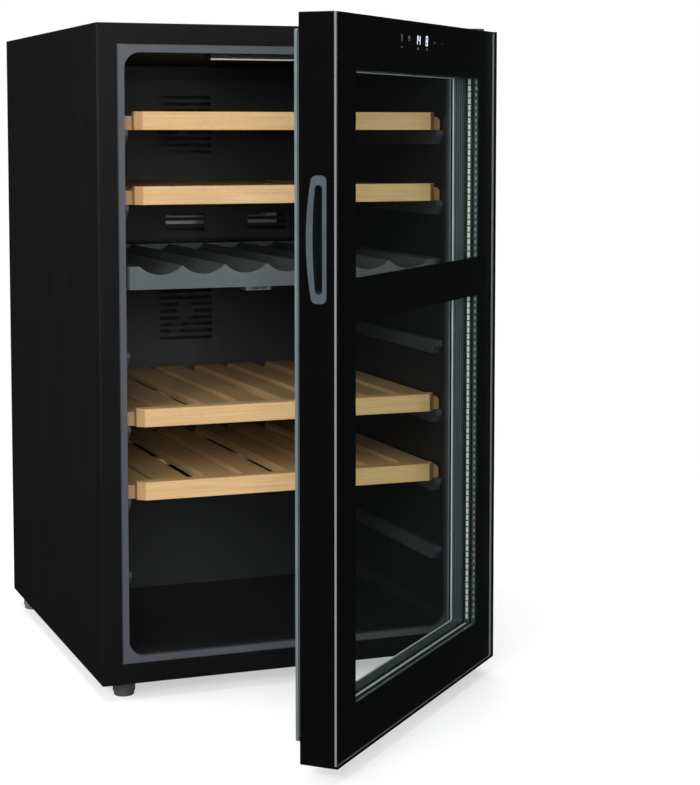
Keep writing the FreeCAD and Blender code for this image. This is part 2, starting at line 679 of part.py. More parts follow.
zones = {
    "upper": (divider_top + d.duct_margin, ceiling - d.opening_radius),
    "lower": (hump_top + d.duct_margin, divider_bottom - d.duct_margin),
}
duct_x = inner_x - d.duct_side_gap
BLADES = 7
FAN_SLOT_STEPS = 4
INTAKE_ROWS = 3
PLATE_ROWS = 4
for zone, (low, high) in zones.items():
    fan_z = high - d.fan_inset
    outer = plate(f"duct_outer_{zone}", "XZ", (duct_front, rear),
                  ((-duct_x, duct_x), (low, high), d.duct_round))
    hollow = plate(f"duct_hollow_{zone}", "XZ", (duct_front + d.duct_wall, rear + d.past),
                   ((d.duct_wall - duct_x, duct_x - d.duct_wall),
                    (low + d.duct_wall, high - d.duct_wall), d.duct_round - d.duct_wall))
    slot_y = (duct_front - d.past, duct_front + d.duct_wall + d.past)
    slot_rows = [fan_z + d.slot_height * (2 * step - 0.5)
                 for step in range(-FAN_SLOT_STEPS, FAN_SLOT_STEPS + 1)]
    slots = [box("fan_slot", (-d.slot_length / 2, d.slot_length / 2), slot_y,
                 (z, z + d.slot_height)) for z in slot_rows]
    intake_rows = [low + d.intake_rise + d.slot_height * 2 * row for row in range(INTAKE_ROWS)]
    slots += [box("intake_slot", (x - d.intake_length / 2, x + d.intake_length / 2), slot_y,
                  (z, z + d.slot_height))
              for x in (duct_x * -2 / 3, as_size(0), duct_x * 2 / 3) for z in intake_rows]
    node(f"duct_cover_{zone}", cut(f"duct_cut_{zone}", outer, hollow, *slots))

    plate_x = inner_x - d.plate_side
    plate_z = (low + d.plate_rise, fan_z - d.plate_below_fan)
    sheet_back = rear - d.plate_setback
    cold_plate = box(f"cold_plate_{zone}", (-plate_x, plate_x),
                     (sheet_back - d.plate_thick, sheet_back), plate_z)
    row_room = plate_z[1] - plate_z[0] - d.plate_margin * 2
    rows = min(PLATE_ROWS, 1 + int(row_room.value / d.plate_row_step.value))
    row_pitch = row_room / (rows - 1)
    turns = []
    for row in range(rows):
        ends = (d.plate_end - plate_x, plate_x - d.plate_end)
        for x in ends if row % 2 == 0 else ends[::-1]:
            turns.append((x, sheet_back - d.plate_thick - d.plate_tube_radius,
                          plate_z[0] + d.plate_margin + row_pitch * row))
    node(f"evaporator_{zone}", group(
        f"evaporator_group_{zone}", cold_plate,
        tube(f"cold_tube_{zone}", turns, d.plate_tube_radius, d.plate_tube_bend)))

    hub_front = duct_front + d.duct_wall + d.hub_gap
    hub_back = hub_front + d.hub_length
    motor_front = hub_back + d.motor_gap
    motor_back = motor_front + d.motor_length
    motor = cylinder(f"motor_can_{zone}", (0, motor_front, fan_z), d.fan_motor_radius,
                     d.motor_length, "Y")
    strap_end = d.strap_length / 2
    strap_front = motor_back - d.strap_thick
    strap_z = (fan_z - d.strap_width / 2, fan_z + d.strap_width / 2)
    strap = box(f"motor_strap_{zone}", (-strap_end, strap_end), (strap_front, motor_back),
                strap_z)
    straps = [box("strap_leg", (x, x + d.strap_leg), (strap_front, rear), strap_z)
              for x in (-strap_end, strap_end - d.strap_leg)]
    shaft_front = hub_front + d.hub_face + d.shaft_end_gap
    shaft = cylinder(f"fan_shaft_{zone}", (0, shaft_front, fan_z), d.fan_shaft_radius,
                     motor_front - shaft_front, "Y")
    node(f"fan_motor_{zone}", fuse(f"fan_motor_fused_{zone}", motor, strap, *straps, shaft))

    hub = cylinder(f"fan_hub_{zone}", (0, hub_front, fan_z), d.fan_hub_radius, d.hub_length, "Y")
    blades = []
    for turn in range(BLADES):
        swing = Rotation(Vector(0, 1, 0), 360 / BLADES * turn)
        rotation = swing * Rotation(Vector(0, 0, 1), DRIVING["blade_tilt"])
        across = rotation.multVec(Vector(1, 0, 0))
        through = rotation.multVec(Vector(0, 1, 0))
        radial = rotation.multVec(Vector(0, 0, 1))
        start = [
            middle - d.blade_chord / 2 * across[axis] - d.blade_thick / 2 * through[axis]
            + (d.fan_hub_radius - d.blade_root) * radial[axis]
            for axis, middle in enumerate((as_size(0), hub_front + d.hub_length / 2, fan_z))]
        blade = doc.addObject("Part::Box", f"blade_{zone}")
        place(blade, start, rotation)
        bind(blade, {"Length": d.blade_chord, "Width": d.blade_thick,
                     "Height": d.fan_radius - d.fan_hub_radius + d.blade_root})
        blades.append(blade)
    bore = cylinder(f"fan_bore_{zone}", (0, hub_front + d.hub_face, fan_z),
                    d.fan_shaft_radius + d.shaft_clearance, d.hub_length, "Y")
    node(f"fan_blades_{zone}", cut(f"fan_cut_{zone}", fuse(f"fan_fused_{zone}", hub, *blades),
                                   bore))

# ---------------------------------------------------------------- machine room

room_floor = bottom + d.skin
comp_y = machine_front + d.machine_depth / 2 + d.compressor_back
lug_z = room_floor + d.mount_height
lug_x = (d.compressor_x - d.lug_width / 2, d.compressor_x + d.lug_width / 2)
lug_y = (comp_y - d.lug_depth / 2, comp_y + d.lug_depth / 2)
lug_plate = plate("lug_plate", "XY", (lug_z, lug_z + d.lug_thick), (lug_x, lug_y, d.lug_round))
sump_z = lug_z + d.lug_thick + d.sump_height - d.sump_sink
shell = cylinder("shell", (d.compressor_x, comp_y, sump_z), d.compressor_radius,
                 d.shell_height, "Z")
domes = []
for height, z in ((d.sump_height, sump_z), (d.dome_height, sump_z + d.shell_height)):
    dome = doc.addObject("Part::Ellipsoid", "dome")
    place(dome, (d.compressor_x, comp_y, z), Rotation())
    bind(dome, {"Radius1": height, "Radius2": d.compressor_radius,
                "Radius3": d.compressor_radius})
    domes.append(dome)
weld_seam = cylinder("weld_seam", (d.compressor_x, comp_y, sump_z + d.weld_height),
                     d.compressor_radius + d.weld_proud, d.weld_width, "Z")
terminal_x = d.compressor_x + d.compressor_radius
node("compressor", fuse("compressor_fused", lug_plate, shell, *domes, weld_seam))

mount_spots = [(x, y) for x in (lug_x[0] + d.mount_inset, lug_x[1] - d.mount_inset)
               for y in (lug_y[0] + d.mount_inset, lug_y[1] - d.mount_inset)]
node("compressor_mounts", group("mounts", *[
    cylinder("mount", (x, y, room_floor), d.mount_radius, d.mount_height, "Z")
    for x, y in mount_spots]))
relay_z = sump_z + d.relay_rise
relay_x = terminal_x + d.relay_gap
node("compressor_relay", plate(
    "relay", "XY", (relay_z, relay_z + d.relay_height),
    ((relay_x, relay_x + d.relay_depth),
     (comp_y - d.relay_width / 2, comp_y + d.relay_width / 2), d.relay_round)))

coil_y = back + d.coil_standoff
coil_x = half_width - d.coil_side
coil_z = (machine_top + d.coil_bottom, top - d.coil_top)
COIL_RUNS = 11
coil_pitch = (coil_z[1] - coil_z[0]) / (COIL_RUNS - 1)
route = [(coil_x, coil_y, machine_top + d.coil_start)]
for row in range(COIL_RUNS):
    ends = (coil_x, -coil_x) if row % 2 == 0 else (-coil_x, coil_x)
    route += [(end, coil_y, coil_z[0] + coil_pitch * row) for end in ends]
node("condenser_coil", tube("coil", route, d.coil_radius, d.coil_bend))
clip_rows = [coil_z[0] + coil_pitch * row for row in (0, COIL_RUNS // 2, COIL_RUNS - 1)]
clips = [
    box("clip", (x - d.clip_width / 2, x + d.clip_width / 2),
        (back - d.skin, coil_y - d.coil_radius), (z - d.clip_height / 2, z + d.clip_height / 2))
    for x in (d.clip_inset - coil_x, coil_x - d.clip_inset) for z in clip_rows]
node("condenser_clips", group("clips", *clips))

refrigerant_pipes = []
stem = (d.compressor_x - d.discharge_offset, comp_y + d.discharge_offset)
upper_run = machine_top - d.discharge_drop
pipe_y = back - d.pipe_standoff
refrigerant_pipes.append(cut("discharge_cut", tube("discharge", [
    (*stem, sump_z + d.shell_height), (*stem, upper_run),
    (stem[0], pipe_y, upper_run), (coil_x, pipe_y, upper_run),
    (coil_x, coil_y, upper_run), route[0]], d.coil_radius, d.pipe_bend), NODES["compressor"]))
suction_at = (d.compressor_x + d.suction_side, comp_y - d.suction_front)
refrigerant_pipes.append(cut("suction_cut", cylinder(
    "suction", (*suction_at, sump_z + d.shell_height), d.pipe_radius,
    machine_top - sump_z - d.shell_height, "Z"), NODES["compressor"]))

dryer_at = (d.dryer_side - half_width, machine_front + d.dryer_setback)
dryer_z = room_floor + d.dryer_rise
dryer_top = dryer_z + d.dryer_length
node("filter_dryer", fuse(
    "dryer", cylinder("dryer_can", (*dryer_at, dryer_z), d.dryer_radius, d.dryer_length, "Z"),
    cylinder("dryer_neck", (*dryer_at, dryer_top), d.coil_radius + d.neck_wall, d.dryer_neck,
             "Z"),
    cylinder("capillary", (*dryer_at, dryer_z - d.dryer_neck), d.capillary_radius,
             d.dryer_neck, "Z")))
refrigerant_pipes.append(tube("liquid_line", [
    (-coil_x, coil_y, coil_z[1]), (dryer_at[0], coil_y, coil_z[1]),
    (dryer_at[0], coil_y, machine_top - d.liquid_drop), (*dryer_at, machine_top - d.liquid_drop),
    (*dryer_at, dryer_top + d.dryer_neck)], d.coil_radius, d.pipe_bend))
node("refrigerant_pipes", group("pipes", *refrigerant_pipes))

tray_end = lug_x[0] - d.tray_gap
tray_start = machine_front + d.tray_setback
tray_x = (tray_end - d.tray_width, tray_end)
tray_y = (tray_start, tray_start + d.tray_depth)
tray = plate("tray_block", "XY", (room_floor, room_floor + d.tray_height),
             (tray_x, tray_y, d.tray_round))
tray_hollow = plate(
    "tray_hollow", "XY", (room_floor + d.tray_wall, room_floor + d.tray_height + d.past),
    ((tray_x[0] + d.tray_wall, tray_x[1] - d.tray_wall),
     (tray_y[0] + d.tray_wall, tray_y[1] - d.tray_wall), d.tray_round - d.tray_wall))
node("drain_tray", cut("tray_cut", tray, tray_hollow))

control_end = tray_x[0] - d.box_gap
control_x = (control_end - d.box_width, control_end)
control_y = (back - d.gland_length - d.box_depth, back - d.gland_length)
control_z = (room_floor, room_floor + d.box_height)
node("control_box", plate("control_block", "XY", control_z,
                          (control_x, control_y, d.box_round)))
gland_at = (control_x[0] + d.gland_side, control_y[1], room_floor + d.gland_rise)
half_gland = d.gland_length / 2
gland = fuse(
    "gland_solid",
    cylinder("gland_nut", gland_at, d.gland_radius, half_gland, "Y"),
    cylinder("gland_cap", (gland_at[0], gland_at[1] + half_gland, gland_at[2]),
             d.gland_radius - d.gland_step, half_gland, "Y"))
node("cord_gland", cut("gland_cut", gland, cylinder(
    "gland_hole", (gland_at[0], gland_at[1] - d.past, gland_at[2]), d.gland_bore,
    d.gland_length + d.past * 2, "Y")))

# ---------------------------------------------------------------- feet

neck = d.foot_height - d.foot_gap
for corner, (x, y) in feet_at.items():
    foot = doc.addObject("PartDesign::Body", f"foot_body_{corner}")
    profile = foot.newObject("Sketcher::SketchObject", f"foot_profile_{corner}")
    plane = [one for one in foot.Origin.OriginFeatures if one.Role == "XZ_Plane"][0]
    profile.AttachmentSupport = [(plane, "")]
    profile.MapMode = "FlatFace"
    polygon(profile, [
        (0, 0), (d.foot_tread - d.foot_edge, 0), (d.foot_tread, d.foot_edge),
        (d.foot_radius, neck), (d.stud_radius, neck),
        (d.stud_radius, neck + d.stud_length), (0, neck + d.stud_length)])
    turned = foot.newObject("PartDesign::Revolution", f"foot_turned_{corner}")
    turned.Profile = profile
    turned.ReferenceAxis = (profile, ["V_Axis"])
    turned.Angle = 360
    foot.Tip = turned
    bind(foot, {"Placement.Base.x": x, "Placement.Base.y": y})
    node(f"foot_{corner}", foot)

# ---------------------------------------------------------------- hinges on the cabinet

hinge_x = half_width - d.hinge_inset
hinge_y = front - d.door_gap - d.door_thick + d.hinge_depth
door_low = bottom - d.door_drop
door_high = top - d.door_top_gap
bracket_x = (half_width - d.bracket_width, half_width - d.bracket_side_gap)
bracket_front = front - d.bracket_reach
corner = d.bracket_corner
bracket_shape = ([
    (bracket_x[0], front), (bracket_x[0], front - d.bracket_shoulder),
    (hinge_x - d.bracket_shoulder, bracket_front), (bracket_x[1] - corner, bracket_front),
    (bracket_x[1], bracket_front + corner), (bracket_x[1], front)],)
upper_plate = (door_high + d.bracket_gap, door_high + d.bracket_gap + d.bracket_thick)
lower_top = door_low - d.collar_height - d.seam
lower_plate = (lower_top - d.bracket_thick, lower_top)
flange_y = (front - d.bracket_thick, front)
pin_foot = d.collar_height + d.seam
node("hinge_top", cut("hinge_top_cut", fuse(
    "hinge_top_fused", plate("bracket_top", "XY", upper_plate, bracket_shape),
    box("flange_top", bracket_x, flange_y, (upper_plate[1] - d.bracket_flange, upper_plate[1])),
    cylinder("pin_top", (hinge_x, hinge_y, upper_plate[0] - d.pin_length), d.pin_radius,
             d.pin_length + d.pin_root, "Z")), hole_group))
node("hinge_bottom", cut("hinge_bottom_cut", fuse(
    "hinge_bottom_fused", plate("bracket_bottom", "XY", lower_plate, bracket_shape),
    box("flange_bottom", bracket_x, flange_y, (lower_plate[0], bottom + d.bracket_flange)),
    cylinder("pin_bottom", (hinge_x, hinge_y, lower_top - d.pin_root), d.pin_radius,
             d.pin_length + pin_foot + d.pin_root, "Z")), hole_group))

screws = [
    fuse("screw",
         cylinder("screw_head", (x, flange_y[0] - d.screw_head_height, z), d.screw_head,
                  d.screw_head_height, "Y"),
         cylinder("screw_shank", (x, flange_y[0] - d.screw_head_height / 4, z),
                  d.screw_radius, d.screw_length, "Y"))
    for x, z in screw_spots]
node("hinge_screws", group("screws", *screws))

# ---------------------------------------------------------------- door
# Door pieces are drawn closed, from the hinge axis, and then turned open about it together.


def door_node(name, made):
    made.Placement = Placement(Vector(), Rotation(Vector(0, 0, 1), 1))
    bind(made, {"Placement.Base.x": hinge_x, "Placement.Base.y": hinge_y,
                "Placement.Rotation.Angle": d.door_open})
    return node(name, made)


def depth(behind_face):
    return behind_face - d.hinge_depth


free = d.hinge_inset - d.cab_width
hinge_side = as_size(d.hinge_inset)
frame_front = d.glass_thick + d.glue
frame_hole = (
    (free + d.frame_width, hinge_side - d.frame_width),
    (door_low + d.frame_width, door_high - d.frame_width))
window_x = (free + d.border_free, hinge_side - d.border_hinge)
window_z = (door_low + d.border_bottom, door_high - d.border_top)
band_z = divider_bottom - d.band_below_divider

frame = plate("frame_ring", "XZ", (depth(frame_front), depth(d.door_thick)),
              ((free, hinge_side), (door_low, door_high), d.frame_round),
              (*frame_hole, d.frame_round))
lip_x = hinge_side - d.hinge_lip + d.glass_edge
lip_z = door_low + d.foot_lip - d.glass_edge
lip_end = hinge_side - d.lip_hinge_trim
lip_start = free + d.lip_free_trim
pad(frame, "XZ", (depth(d.lip_setback), depth(frame_front)),
    ([(lip_start, door_low), (lip_end, door_low), (lip_end, door_high),
      (lip_x, door_high), (lip_x, lip_z), (lip_start, lip_z)],))

handle_z = door_low + d.handle_centre
bezel_z = (handle_z - d.handle_length / 2, handle_z + d.handle_length / 2)
pocket_z = (handle_z - d.pocket_length / 2, handle_z + d.pocket_length / 2)
cup_z = (pocket_z[0] - d.cup_wall, pocket_z[1] + d.cup_wall)


def pocket(name, x, wall, z, radius):
    return plate(name, "YZ", x, ((depth(d.pocket_front) - wall, depth(d.pocket_end) + wall), z,
                                 radius, d.pocket_bulge))


cup_reach = free + d.pocket_reach
cup_round = d.pocket_round + d.cup_wall
cup_room = pocket("cup_room", (free - d.past, cup_reach), d.cup_wall, cup_z, cup_round)
cup_body = pocket("cup_body", (free, cup_reach), d.cup_wall, cup_z, cup_round)
cup_hollow = pocket("cup_hollow", (free - d.bezel_proud - d.past, cup_reach - d.cup_wall), 0,
                    pocket_z, d.pocket_round)
bezel = plate("bezel_block", "YZ", (free - d.bezel_proud, free),
              ((depth(d.bezel_front), depth(d.bezel_end)), bezel_z, d.bezel_round,
               d.bezel_bulge))

display_x = (free + d.cab_width / 2 - d.display_width / 2,
             free + d.cab_width / 2 + d.display_width / 2)
display_z = (door_high - d.display_inset - d.display_height / 2,
             door_high - d.display_inset + d.display_height / 2)
display_y = (depth(frame_front), depth(frame_front) + d.display_thick)
display = plate("display_case", "XZ", display_y, (display_x, display_z, d.display_round))

top_bush_z = (door_high - d.bush_length, door_high)
low_bush_z = (door_low, door_low + d.bush_length)
bush_rooms = [cylinder("bush_room", (0, 0, z[0]), d.bush_radius, d.bush_length, "Z")
              for z in (top_bush_z, low_bush_z)]
door_node("door_frame", cut("frame_cut", frame, cup_room, display, *bush_rooms))
bore_radius = d.pin_radius + d.pin_clearance
bushes = [
    cut("top_bush", cylinder("bush_top", (0, 0, top_bush_z[0]), d.bush_radius,
                             d.bush_length, "Z"),
        cylinder("bore_top", (0, 0, top_bush_z[0] - d.past), bore_radius,
                 d.bush_length + d.past * 2, "Z")),
    cut("low_bush", fuse(
        "low_bush_solid",
        cylinder("bush_low", (0, 0, low_bush_z[0] - d.past), d.bush_radius,
                 d.bush_length + d.past, "Z"),
        cylinder("collar", (0, 0, door_low - d.collar_height), d.collar_radius,
                 d.collar_height, "Z")),
        cylinder("bore_low", (0, 0, door_low - d.collar_height - d.past), bore_radius,
                 d.bush_length + d.collar_height + d.past * 2, "Z"))]
door_node("hinge_bushes", group("bushes", *bushes))

glass_x = (free + d.glass_edge, hinge_side - d.hinge_lip)
glass_z = (door_low + d.foot_lip, door_high - d.glass_edge)
front_glass = plate("front_glass", "XZ", (depth(0), depth(d.glass_thick)),
                    (glass_x, glass_z, d.glass_round))
soften(front_glass, d.glass_edge, lambda edge, middle:
       abs(middle.y - depth(0).value) < 0.01)
door_node("glass_outer", front_glass)
print_y = depth(d.glass_thick + d.glue / 2)
door_node("glass_print", plate(
    "print_layer", "XZ", (print_y, print_y + d.print_thick), (glass_x, glass_z, d.glass_round),
    (window_x, (window_z[0], band_z), d.window_round),
    (window_x, (band_z + d.band_height, window_z[1]), d.window_round)))

pane_x = (frame_hole[0][0] + d.pane_play, frame_hole[0][1] - d.pane_play)
pane_z = (frame_hole[1][0] + d.pane_play, frame_hole[1][1] - d.pane_play)
clear_x = (pane_x[0] + d.spacer_width, pane_x[1] - d.spacer_width)
clear_z = (pane_z[0] + d.spacer_width, pane_z[1] - d.spacer_width)
layer = frame_front
for name, is_pane in (("spacer_outer", False), ("glass_middle", True),
                      ("spacer_inner", False), ("glass_inner", True)):
    following = layer + (d.pane_thick if is_pane else d.spacer_thick)
    outlines = [(pane_x, pane_z, d.pane_round)]
    if not is_pane:
        outlines.append((clear_x, clear_z, d.pane_round))
    door_node(name, plate(f"{name}_body", "XZ", (depth(layer), depth(following)), *outlines))
    layer = following

reveal_y = (depth(layer + d.seam), depth(layer + d.seam + d.reveal_depth))
reveal = plate(
    "reveal_ring", "XZ", reveal_y,
    ((frame_hole[0][0] + d.seam, frame_hole[0][1] - d.seam),
     (frame_hole[1][0] + d.seam, frame_hole[1][1] - d.seam), d.frame_round),
    (window_x, window_z, d.reveal_round))
door_node("door_reveal", reveal)

seal_x = (free + d.gasket_inset, hinge_side - d.gasket_inset)
seal_z = (door_low + d.gasket_end_inset, door_high - d.gasket_top_inset)
seal_thick = d.door_gap - d.seal_clearance


def seal_outlines(trim):
    inner_trim = d.gasket_width - trim
    return (((seal_x[0] + trim, seal_x[1] - trim), (seal_z[0] + trim, seal_z[1] - trim),
             d.gasket_round),
            ((seal_x[0] + inner_trim, seal_x[1] - inner_trim),
             (seal_z[0] + inner_trim, seal_z[1] - inner_trim), d.gasket_inner_round))


seal_steps = [0, d.gasket_base, d.gasket_base + d.gasket_bellows, seal_thick]
seal = plate("seal", "XZ", (depth(d.door_thick), depth(d.door_thick + seal_steps[1])),
             *seal_outlines(as_size(0)))
pad(seal, "XZ", (depth(d.door_thick + seal_steps[1]), depth(d.door_thick + seal_steps[2])),
    *seal_outlines(d.gasket_neck))
pad(seal, "XZ", (depth(d.door_thick + seal_steps[2]), depth(d.door_thick + seal_steps[3])),
    *seal_outlines(d.gasket_face_trim))
door_node("door_gasket", seal)

door_node("handle_cup", cut("cup_cut", cup_body, cup_hollow))
door_node("handle_bezel", cut("bezel_cut", bezel, cup_hollow))
door_node("display_module", plate(
    "display_board", "XZ", display_y, (display_x, display_z, d.display_round)))

# ---------------------------------------------------------------- shelves

board_x = inner_x - d.board_side_gap
board_y = (front + d.shelf_setback, front + d.shelf_setback + d.board_depth)
deck_rear = duct_front - d.shelf_rear_gap
slat_width = (pair_width - d.pair_gap) / 2
for number, level in enumerate((levels[6], levels[5], levels[2], levels[1]), start=1):
    seat = level + d.shelf_lift
    chamfer = d.board_chamfer
    board = plate(
        f"board_{number}", "XY", (seat, seat + d.board_height),
        ([(-board_x + chamfer, board_y[0]), (board_x - chamfer, board_y[0]),
          (board_x, board_y[0] + chamfer), (board_x, board_y[1]), (-board_x, board_y[1]),
          (-board_x, board_y[0] + chamfer)],))
    soften(board, d.board_round, lambda edge, middle:
           middle.y < board_y[0].value + chamfer.value + d.board_round.value
           and not along(edge, upright))
    node(f"shelf_{number}_front_board", board)

    slat_z = (seat + d.slat_top - d.slat_thick, seat + d.slat_top)
    outlines = []
    for lane in range(lane_count):
        lane_start = lane_pitch * lane - deck_x
        for start in (lane_start, lane_start + slat_width + d.pair_gap):
            end = start + slat_width
            outlines.append(([
                (start, slat_z[0]), (end, slat_z[0]), (end, slat_z[1] - d.slat_chamfer),
                (end - d.slat_chamfer, slat_z[1]), (start + d.slat_chamfer, slat_z[1]),
                (start, slat_z[1] - d.slat_chamfer)],))
    slats = plate(f"slats_{number}", "XZ", (board_y[1], deck_rear), *outlines)
    runner_z = (seat, slat_z[0])
    runner_in = deck_x - d.runner_width
    bars = [box("runner", x, (board_y[1], deck_rear), runner_z)
            for x in ((-deck_x, -runner_in), (runner_in, deck_x))]
    middle_y = (board_y[1] + deck_rear) / 2
    bars += [box("cross_bar", (-runner_in, runner_in), (y, y + d.rear_bar), runner_z)
             for y in (middle_y, deck_rear - d.rear_bar)]
    node(f"shelf_{number}_deck", group(f"deck_{number}", slats, *bars))

# ---------------------------------------------------------------- check and export

doc.recompute()
failed = [one.Name for one in doc.Objects if "Invalid" in one.State or "Error" in one.State]
for name, made in NODES.items():
    shape = made.Shape
    if shape.isNull() or not shape.isValid() or not shape.Solids:
        failed.append(name)
if failed:
    raise RuntimeError(f"these did not build: {failed}")
for name, made in NODES.items():
    made.Shape.exportStep(f"parts/{name}.step")
print(f"{len(NODES)} nodes written")
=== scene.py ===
import json
import math

import bmesh
import bpy
from mathutils import Matrix, Vector


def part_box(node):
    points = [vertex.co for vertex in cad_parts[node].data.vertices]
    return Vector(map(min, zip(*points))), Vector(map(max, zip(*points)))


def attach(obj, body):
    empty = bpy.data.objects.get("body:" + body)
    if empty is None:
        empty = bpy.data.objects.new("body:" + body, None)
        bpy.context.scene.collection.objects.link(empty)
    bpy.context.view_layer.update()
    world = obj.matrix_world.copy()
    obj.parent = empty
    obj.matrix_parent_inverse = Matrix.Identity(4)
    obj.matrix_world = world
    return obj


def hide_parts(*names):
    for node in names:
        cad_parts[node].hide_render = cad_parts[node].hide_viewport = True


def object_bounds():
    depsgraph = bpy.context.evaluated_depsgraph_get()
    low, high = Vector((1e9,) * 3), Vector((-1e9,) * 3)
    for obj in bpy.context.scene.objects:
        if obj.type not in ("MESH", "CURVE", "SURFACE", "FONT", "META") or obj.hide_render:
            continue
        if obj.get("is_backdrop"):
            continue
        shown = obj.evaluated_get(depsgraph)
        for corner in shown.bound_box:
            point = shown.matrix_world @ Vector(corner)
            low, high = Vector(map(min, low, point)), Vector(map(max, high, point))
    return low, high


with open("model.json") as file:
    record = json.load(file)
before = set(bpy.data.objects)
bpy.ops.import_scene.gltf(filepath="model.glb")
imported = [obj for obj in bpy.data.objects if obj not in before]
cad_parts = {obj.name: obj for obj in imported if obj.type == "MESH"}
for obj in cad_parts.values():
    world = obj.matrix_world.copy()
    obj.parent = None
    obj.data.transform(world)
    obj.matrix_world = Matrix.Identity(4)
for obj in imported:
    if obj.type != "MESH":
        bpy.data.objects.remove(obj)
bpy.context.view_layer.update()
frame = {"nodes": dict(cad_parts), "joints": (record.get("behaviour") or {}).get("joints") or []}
nodes = frame["nodes"]

# ---------------------------------------------------------------- painted side and top panels
# Folded steel sheet, powder coated black and wrapped round the insulation.
# Baked powder keeps a fine orange peel, so what it mirrors breaks up softly, and hands and
# packing leave it a little glossier in wide patches.


def linear(code):
    """An sRGB hex colour as linear red, green, blue and alpha."""
    parts = [int(code[place:place + 2], 16) / 255 for place in (0, 2, 4)]
    return (*[one / 12.92 if one <= 0.04045 else ((one + 0.055) / 1.055) ** 2.4
              for one in parts], 1.0)


def add(tree, kind, inputs=None, **settings):
    """Add a node, with its settings, and set or link its inputs."""
    made = tree.nodes.new(kind)
    for name, value in settings.items():
        setattr(made, name, value)
    for name, value in (inputs or {}).items():
        if isinstance(value, bpy.types.NodeSocket):
            tree.links.new(value, made.inputs[name])
        else:
            made.inputs[name].default_value = value
    return made


def begin(name):
    """An empty material, its tree, and the places on the piece that its patterns follow."""
    finish = bpy.data.materials.new(name)
    finish.use_nodes = True
    finish.node_tree.nodes.clear()
    return finish, finish.node_tree, add(finish.node_tree, "ShaderNodeTexCoord").outputs["Object"]


def close(tree, **sockets):
    """The shader and the output that end a material; double underscores stand for spaces."""
    named = {name.replace("__", " "): value for name, value in sockets.items()}
    surface = add(tree, "ShaderNodeBsdfPrincipled", named)
    add(tree, "ShaderNodeOutputMaterial", {"Surface": surface.outputs[0]})


def textured(name, dark, light, grain, relief, roughness, patch=0.08, **sockets):
    """Colour and gloss that drift in patches, under a fine grain in real relief."""
    finish, tree, spot = begin(name)
    drift = add(tree, "ShaderNodeTexNoise",
                {"Vector": spot, "Scale": 1 / patch, "Detail": 5.0,
                 "Roughness": 0.6}).outputs["Fac"]
    tone = add(tree, "ShaderNodeMixRGB",
               {"Fac": drift, "Color1": linear(dark), "Color2": linear(light)}).outputs["Color"]
    gloss = add(tree, "ShaderNodeMapRange",
                {"Value": drift, "From Min": 0.3, "From Max": 0.7,
                 "To Min": roughness[0], "To Max": roughness[1]}).outputs["Result"]
    fine = add(tree, "ShaderNodeTexNoise",
               {"Vector": spot, "Scale": 1 / grain, "Detail": 2.0}).outputs["Fac"]
    bump = add(tree, "ShaderNodeBump", {"Height": fine, "Distance": relief}).outputs["Normal"]
    close(tree, Base__Color=tone, Roughness=gloss, Normal=bump, **sockets)
    return finish


def dress(finish, *names):
    """Give CAD pieces their finish."""
    for name in names:
        nodes[name].data.materials.clear()
        nodes[name].data.materials.append(finish)


powder_coat = textured("satin_black_powder_coat", "070708", "0b0b0c", grain=0.0012,
                       relief=0.00006, roughness=(0.42, 0.5), Specular__IOR__Level=0.11)
dress(powder_coat, "side_panel_left", "side_panel_right", "top_panel", "bottom_rail")

# ---------------------------------------------------------------- base plate and back panel
# Thin galvanised sheet under the cabinet and a black coated sheet behind it, held by
# hexagon washer-head screws through the folded rear edges of the side panels.
# Hot-dip zinc freezes in flakes a few millimetres across, each with its own grey.

finish, tree, spot = begin("galvanised_sheet")
flake_width = 0.007
flakes = add(tree, "ShaderNodeTexVoronoi", {"Vector": spot, "Scale": 1 / flake_width})
shade = add(tree, "ShaderNodeRGBToBW", {"Color": flakes.outputs["Color"]}).outputs[0]
tone = add(tree, "ShaderNodeMixRGB",
           {"Fac": shade, "Color1": linear("6e7377"), "Color2": linear("9da2a5")}).outputs[0]
gloss = add(tree, "ShaderNodeMapRange",
            {"Value": shade, "To Min": 0.32, "To Max": 0.5}).outputs["Result"]
close(tree, Base__Color=tone, Roughness=gloss, Metallic=0.9)
galvanised = finish
dress(galvanised, "base_plate")
black_sheet = textured("black_coated_sheet", "15171a", "1d2023", grain=0.0016,
                       relief=0.00005, roughness=(0.4, 0.55), patch=0.05)
dress(black_sheet, "back_panel")


def grow(name, tree, sizes, place=None):
    """Run a node tree once and keep what it makes as a plain mesh, put in its place."""
    seed = bpy.data.objects.new(f"{name}_seed", bpy.data.meshes.new(f"{name}_seed"))
    bpy.context.scene.collection.objects.link(seed)
    modifier = seed.modifiers.new("grow", "NODES")
    modifier.node_group = tree
    for item in tree.interface.items_tree:
        if item.item_type == "SOCKET" and item.in_out == "INPUT":
            modifier[item.identifier] = sizes[item.name]
    graph = bpy.context.evaluated_depsgraph_get()
    mesh = bpy.data.meshes.new_from_object(seed.evaluated_get(graph), depsgraph=graph)
    bpy.data.objects.remove(seed)
    if place is not None:
        mesh.transform(place)
    made = bpy.data.objects.new(name, mesh)
    bpy.context.scene.collection.objects.link(made)
    return made


def begin_growth(name, **inputs):
    """A node tree with named sizes: its tree and the sockets that carry them."""
    tree = bpy.data.node_groups.new(name, "GeometryNodeTree")
    kinds = {float: "NodeSocketFloat", int: "NodeSocketInt"}
    for label, kind in inputs.items():
        tree.interface.new_socket(label, in_out="INPUT", socket_type=kinds[kind])
    tree.interface.new_socket("Geometry", in_out="OUTPUT", socket_type="NodeSocketGeometry")
    return tree, add(tree, "NodeGroupInput").outputs


